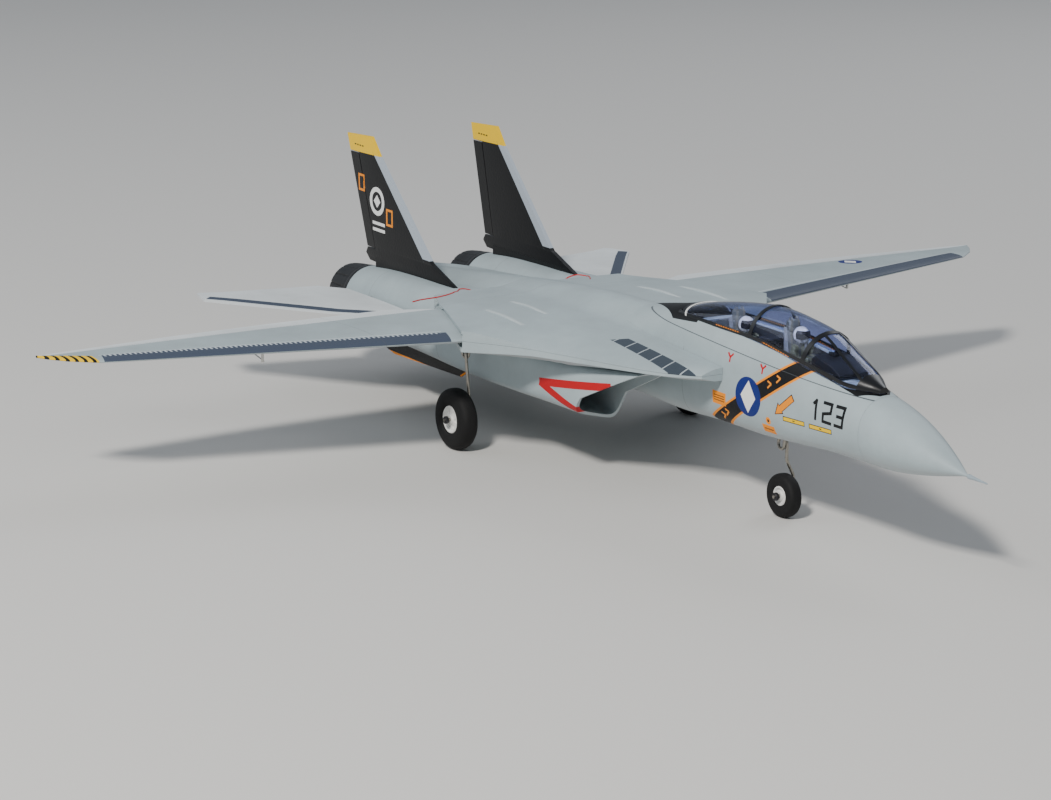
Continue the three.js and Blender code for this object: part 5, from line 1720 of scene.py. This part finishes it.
def fin_seams(look, x, y, z):
    return [band_mark(look, x, z, (-407, 195), (-545, 326), 0.3)]


FIN_PAINT = foam_paint("black_fin_foam", (0.0035, 0.0038, 0.0045), fin_marks, fin_seams, roughness=0.38)
fin_left = make_fin("fin_blade_left")
fin_right = mirror_copy(fin_left, "fin_blade_right")
settle(fin_left, FIN_PAINT, "airframe", "black_foam", "fin_left")
settle(fin_right, FIN_PAINT, "airframe", "black_foam", "fin_right")
rudder_left = combine(fin_blade("rudder_blade_left"), rudder_plan("rudder_keep", 0), "INTERSECT")
rudder_right = mirror_copy(rudder_left, "rudder_blade_right")
settle(rudder_left, FIN_PAINT, "rudder_left", "black_foam", "rudder_left")
settle(rudder_right, FIN_PAINT, "rudder_right", "black_foam", "rudder_right")


def strake_marks(look, x, y, z):
    edge = look.below(z, 0.0635)
    front = band_mark(look, x, z, (-244, 84), (-276, 66), 2.4)
    return [(look.math("MAXIMUM", edge, front), ORANGE)]


STRAKE_PAINT = foam_paint("black_strake_foam", (0.0035, 0.0038, 0.0045), strake_marks)
STRAKE_OUTLINE = [(-244, 84), (-276, 66), (-452, 60), (-482, 66), (-482, 84)]
for side_name, sign in (("left", 1), ("right", -1)):
    low, high = sorted((sign * (VENTRAL_Y - 1.5), sign * (VENTRAL_Y + 1.5)))
    strake = rounded_edges(extruded(f"strake_{side_name}", STRAKE_OUTLINE, low, high, upright=True), 0.9)
    settle(strake, STRAKE_PAINT, "airframe", "black_foam", f"ventral_fin_{side_name}")

# A strip of red tape lies over each nacelle just ahead of its fin, from the glove to the tail deck.


TAPE_PATHS = {
    "right": [(-274, 196), (-281, 180), (-283, 165), (-284, 150), (-288, 135), (-295, 122),
              (-306, 108), (-319, 97), (-320, 90), (-316, 78)],
    "left": [(-276, 84), (-292, 94), (-310, 100), (-324, 95), (-326, 78), (-318, 60), (-303, 44)],
}


def skin_top(x, y):
    """Height of the top skin: the shell ahead of the nacelle joint, the nacelle or deck behind it."""
    if x > SHELL_REAR_X:
        return top_height(x, y)
    row = smooth_row(NACELLE_REAR, x)
    across = min(1, abs(y - row[0]) / row[1])
    crest = row[3] + (row[2] - row[3]) * (1 - across ** row[5]) ** (1 / row[5])
    return max(crest, deck_top(x, y) if y < deck_half(x) else 0)


def fin_tape(name, sign, path):
    """Thin tape laid over the top of the nacelle on a curved path."""
    rings = []
    for count in range(4 * (len(path) - 1) + 1):
        at = min(count // 4, len(path) - 2)
        share = count / 4 - at
        x, y = (a + (b - a) * share for a, b in zip(path[at], path[at + 1]))
        height = max(skin_top(x, y), skin_top(x - 3, y), skin_top(x + 3, y))
        rings.append([(x - 1.5, sign * y, height - 0.6), (x + 1.5, sign * y, height - 0.6),
                      (x + 1.3, sign * y, height + 1.3), (x - 1.3, sign * y, height + 1.3)])
    tape = skinned(name, rings)
    take(tape)
    smooth = tape.modifiers.new("smooth", "SUBSURF")
    smooth.levels = smooth.render_levels = 1
    bpy.ops.object.modifier_apply(modifier=smooth.name)
    return tape


TAPE = plastic_paint("red_tape", (0.55, 0.02, 0.02), 0.4)
for side_name, sign in (("left", 1), ("right", -1)):
    tape = fin_tape(f"red_tape_{side_name}", sign, TAPE_PATHS[side_name])
    settle(tape, TAPE, "airframe", "black_plastic")

# ---------------------------------------------------------------- wheels
# Light foam tyres with a soft square shoulder run on white plastic hubs. Each hub has a raised rim
# and a dished web with six round holes, and turns on the bare end of its leg wire.
WHEELS = {
    "main": {"x": -177.4, "y": 185, "radius": 40, "width": 24, "hub": 18},
    "nose": {"x": 277.6, "y": 0, "radius": 27, "width": 18, "hub": 12},
}
WIRE_RADIUS = 2


def hollow_turn(name, profile, centre, sides=96):
    """Ring turned about an axle along Y, closed on itself. profile gives (across, radius) corners."""
    shell = bmesh.new()
    rings = []
    for k in range(sides):
        angle = k / sides * 2 * math.pi
        rings.append([shell.verts.new(Vector((centre[0] + radius * math.cos(angle), centre[1] + across,
                                              centre[2] + radius * math.sin(angle))) * MM)
                      for across, radius in profile])
    for ring, after in zip(rings, rings[1:] + rings[:1]):
        for k in range(len(profile)):
            near = (k + 1) % len(profile)
            shell.faces.new((ring[k], ring[near], after[near], after[k]))
    return finished(shell, name)


def make_tyre(name, wheel):
    """Tyre with round shoulders."""
    half, radius, bead = wheel["width"] / 2, wheel["radius"], wheel["hub"] + 0.3
    outer = []
    for part in steps(0, 1, 30):
        angle = part * math.pi
        across = -math.copysign(abs(math.cos(angle)) ** 0.75, math.cos(angle)) * half
        rise = math.sin(angle) ** 0.42
        outer.append((across, bead + 2.5 + (radius - bead - 2.5) * rise))
    profile = [(-half * 0.8, bead)] + outer + [(half * 0.8, bead)]
    return hollow_turn(name, profile, (wheel["x"], wheel["y"], radius))


def make_hub(name, wheel):
    """White hub with a raised rim, a dished web with round holes, and a bored boss."""
    half, rim = wheel["width"] * 0.42, wheel["hub"]
    bore = WIRE_RADIUS + 0.6
    profile = [
        (-half, bore), (-half, 5.2), (-half + 1, 5.8), (-half + 2.4, 6.2), (-half + 2.6, rim - 4),
        (-half + 0.8, rim - 2.6), (-half, rim - 2), (-half, rim - 0.6), (-half + 0.6, rim),
        (half - 0.6, rim), (half, rim - 0.6), (half, rim - 2), (half - 0.8, rim - 2.6),
        (half - 2.6, rim - 4), (half - 2.4, 6.2), (half - 1, 5.8), (half, 5.2), (half, bore),
    ]
    centre = (wheel["x"], wheel["y"], wheel["radius"])
    body = hollow_turn(name, profile, centre)
    reach = (rim - 4 + 6.2) / 2
    for k in range(6):
        angle = k / 6 * 2 * math.pi
        place = (centre[0] + reach * math.cos(angle), centre[2] + reach * math.sin(angle))
        size = (rim - 10.2) * 0.36
        for start, end in ((-half - 2, -half + 4), (half - 4, half + 2)):
            combine(body, turned("hub_hole", [(0, size), (1, size)], (place[0], centre[1] + start, place[1]),
                                 (place[0], centre[1] + end, place[1]), 24))
    return body


TYRE_FOAM = foam_paint("tyre_black_foam", (0.006, 0.006, 0.0065), roughness=0.72)
HUB_PLASTIC = plastic_paint("hub_white_plastic", (0.74, 0.74, 0.72), 0.42)
for name, sign in (("main_left", 1), ("main_right", -1), ("nose", 1)):
    body = "nose_wheel" if name == "nose" else name.replace("main", "main_wheel")
    wheel = dict(WHEELS[name.split("_")[0]])
    wheel["y"] *= sign
    tyre_node, hub_node = (f"{name}_tyre", f"{name}_hub") if name == "nose" else (
        f"main_tyre_{name[5:]}", f"main_hub_{name[5:]}")
    settle(make_tyre(f"foam_tyre_{name}", wheel), TYRE_FOAM, body, "wheel_foam", tyre_node, angle=50)
    settle(make_hub(f"wheel_hub_{name}", wheel), HUB_PLASTIC, body, "wheel_hub", hub_node, angle=35)

# ---------------------------------------------------------------- landing gear legs
# The legs are single lengths of piano wire, each bent into a spring loop and then into its axle.
# The main legs stand in plastic plates under the gloves, the nose leg in a steering block.


def wire_tube(name, points, radius, sides=20):
    """Bent wire along a smooth path through the points, as a closed tube."""
    curve = bpy.data.curves.new(name, "CURVE")
    curve.dimensions = "3D"
    curve.bevel_depth = radius * MM
    curve.bevel_resolution = sides // 4
    curve.use_fill_caps = True
    spline = curve.splines.new("POLY")
    spline.points.add(len(points) - 1)
    for slot_point, point in zip(spline.points, points):
        slot_point.co = (*(Vector(point) * MM), 1)
    tube = bpy.data.objects.new(name, curve)
    bpy.context.scene.collection.objects.link(tube)
    take(tube)
    bpy.ops.object.convert(target="MESH")
    return bpy.context.object


def bend(points, reach=4, count=6):
    """Path with each inner corner rounded by an arc-like curve that starts a reach before it."""
    path = [Vector(points[0])]
    for before, corner, after in zip(points, points[1:], points[2:]):
        corner = Vector(corner)
        inward, outward = (corner + arm.normalized() * min(reach, arm.length / 2)
                           for arm in (Vector(before) - corner, Vector(after) - corner))
        for part in steps(0, 1, count):
            path.append(inward.lerp(corner, part).lerp(corner.lerp(outward, part), part))
    path.append(Vector(points[-1]))
    return path


def spring_loop(centre, radius, start_y, shift, turns=1):
    """One round turn of the wire in the plane of travel, drifting sideways so that it passes itself."""
    count = int(28 * turns)
    return [Vector((centre[0] + radius * math.cos(a), start_y + shift * i / count,
                    centre[1] + radius * math.sin(a)))
            for i, a in enumerate(steps(0, -2 * math.pi * turns, count))]


def set_collar(name, x, y, z):
    """Wheel collar with a chamfered rim and a set screw."""
    ring = turned(name, [(0, 4.4), (0.12, 5), (0.88, 5), (1, 4.4)], (x, y - 2.2, z), (x, y + 2.2, z), 40)
    combine(ring, turned("screw_socket", [(0, 1), (1, 1)], (x, y, z + 2.5), (x, y, z + 6), 16))
    return ring


SPRING_WIRE = metal_paint("spring_wire", (0.36, 0.34, 0.30), 0.3, 1.0, (1, 1, 0.1))
COLLAR_BLACK = metal_paint("black_collar_steel", (0.05, 0.05, 0.055), 0.35, 0.8)
GEAR_PLASTIC = plastic_paint("gear_mount_plastic", (0.03, 0.032, 0.035), 0.5)
main = WHEELS["main"]
for side_name, sign in (("left", 1), ("right", -1)):
    leg_y = sign * (main["y"] - 21)
    top_x = -183
    loop = spring_loop((top_x - 6, 122), 6, leg_y, sign * 4.2)
    low_y = leg_y + sign * 4.2
    axle_end = sign * (main["y"] + main["width"] / 2 + 7)
    lower = bend([(top_x, low_y, 121), (main["x"], low_y - sign * 2, 66), (main["x"], leg_y, main["radius"]),
                  (main["x"], axle_end, main["radius"])], 5)
    leg = wire_tube(f"main_leg_{side_name}", [Vector((top_x, leg_y, 137.6))] + loop + lower, WIRE_RADIUS)
    settle(leg, SPRING_WIRE, "airframe", "steel_wire", f"main_strut_{side_name}", angle=60)
    for number, offset in enumerate((-15.5, 15.5)):
        collar = set_collar(f"main_collar_{number}_{side_name}", main["x"],
                            sign * main["y"] + offset, main["radius"])
        settle(collar, COLLAR_BLACK, "airframe", "steel_wire")
    board = block(f"main_plate_{side_name}", (-200, sign * 170 - 12, 138), (-166, sign * 170 + 12, 146))
    plate = rounded_edges(board, 1)
    for dx in (-13, 13):
        for dy in (-8, 8):
            place = (-183 + dx, sign * 170 + dy)
            head = turned("plate_screw", [(0, 1.6), (0.6, 2.2), (1, 2.2)],
                          (*place, 137.2), (*place, 138.4), 20)
            combine(plate, head, "UNION")
    settle(plate, GEAR_PLASTIC, "airframe", "black_plastic", f"main_gear_plate_{side_name}")

nose = WHEELS["nose"]
steer_x = 276
nose_loop = spring_loop((steer_x - 7, 90), 7, -1.5, 4.4)
lower = bend([(steer_x, 2.9, 88), (steer_x, 3, 70), (steer_x, 14, 50), (nose["x"], 14, nose["radius"]),
              (nose["x"], -nose["width"] / 2 - 7, nose["radius"])], 4)
upper = [Vector((steer_x, 0, 107.9)), Vector((steer_x, -0.3, 98))]
nose_leg = wire_tube("nose_leg_wire", upper + nose_loop + lower, WIRE_RADIUS)
settle(nose_leg, SPRING_WIRE, "nose_leg", "steel_wire", "nose_strut", angle=60)
for number, offset in enumerate((-12.5, 11.5)):
    collar = set_collar(f"nose_collar_{number}", nose["x"], offset, nose["radius"])
    settle(collar, COLLAR_BLACK, "nose_leg", "steel_wire")
mount = rounded_edges(block("steering_block", (261, -14, 103), (289, 14, 115.4)), 1.2)
combine(mount, turned("steering_bore", [(0, 2.3), (1, 2.3)], (steer_x, 0, 90), (steer_x, 0, 110), 32))
settle(mount, GEAR_PLASTIC, "airframe", "black_plastic", "nose_gear_mount")

# ---------------------------------------------------------------- flight battery
# A soft pack in shrink wrap lies on the bay floor under the hatch. A plain blue band goes round
# its middle.


def wrap_marks(look, x, y, z):
    label = look.below(look.size(look.minus(x, 0.268)), 0.052)
    return [(look.times(label, 0.85), (0.035, 0.13, 0.38))]


WRAP = plastic_paint("battery_shrink_wrap", (0.02, 0.022, 0.028), 0.25, wrap_marks, 0.004)
pack = rounded_edges(block("battery_pack", (193, -23, 122.3), (343, 23, 164.3)), 3.5, segments=5)
settle(pack, WRAP, "airframe", "battery_wrap", "battery")

deselect()
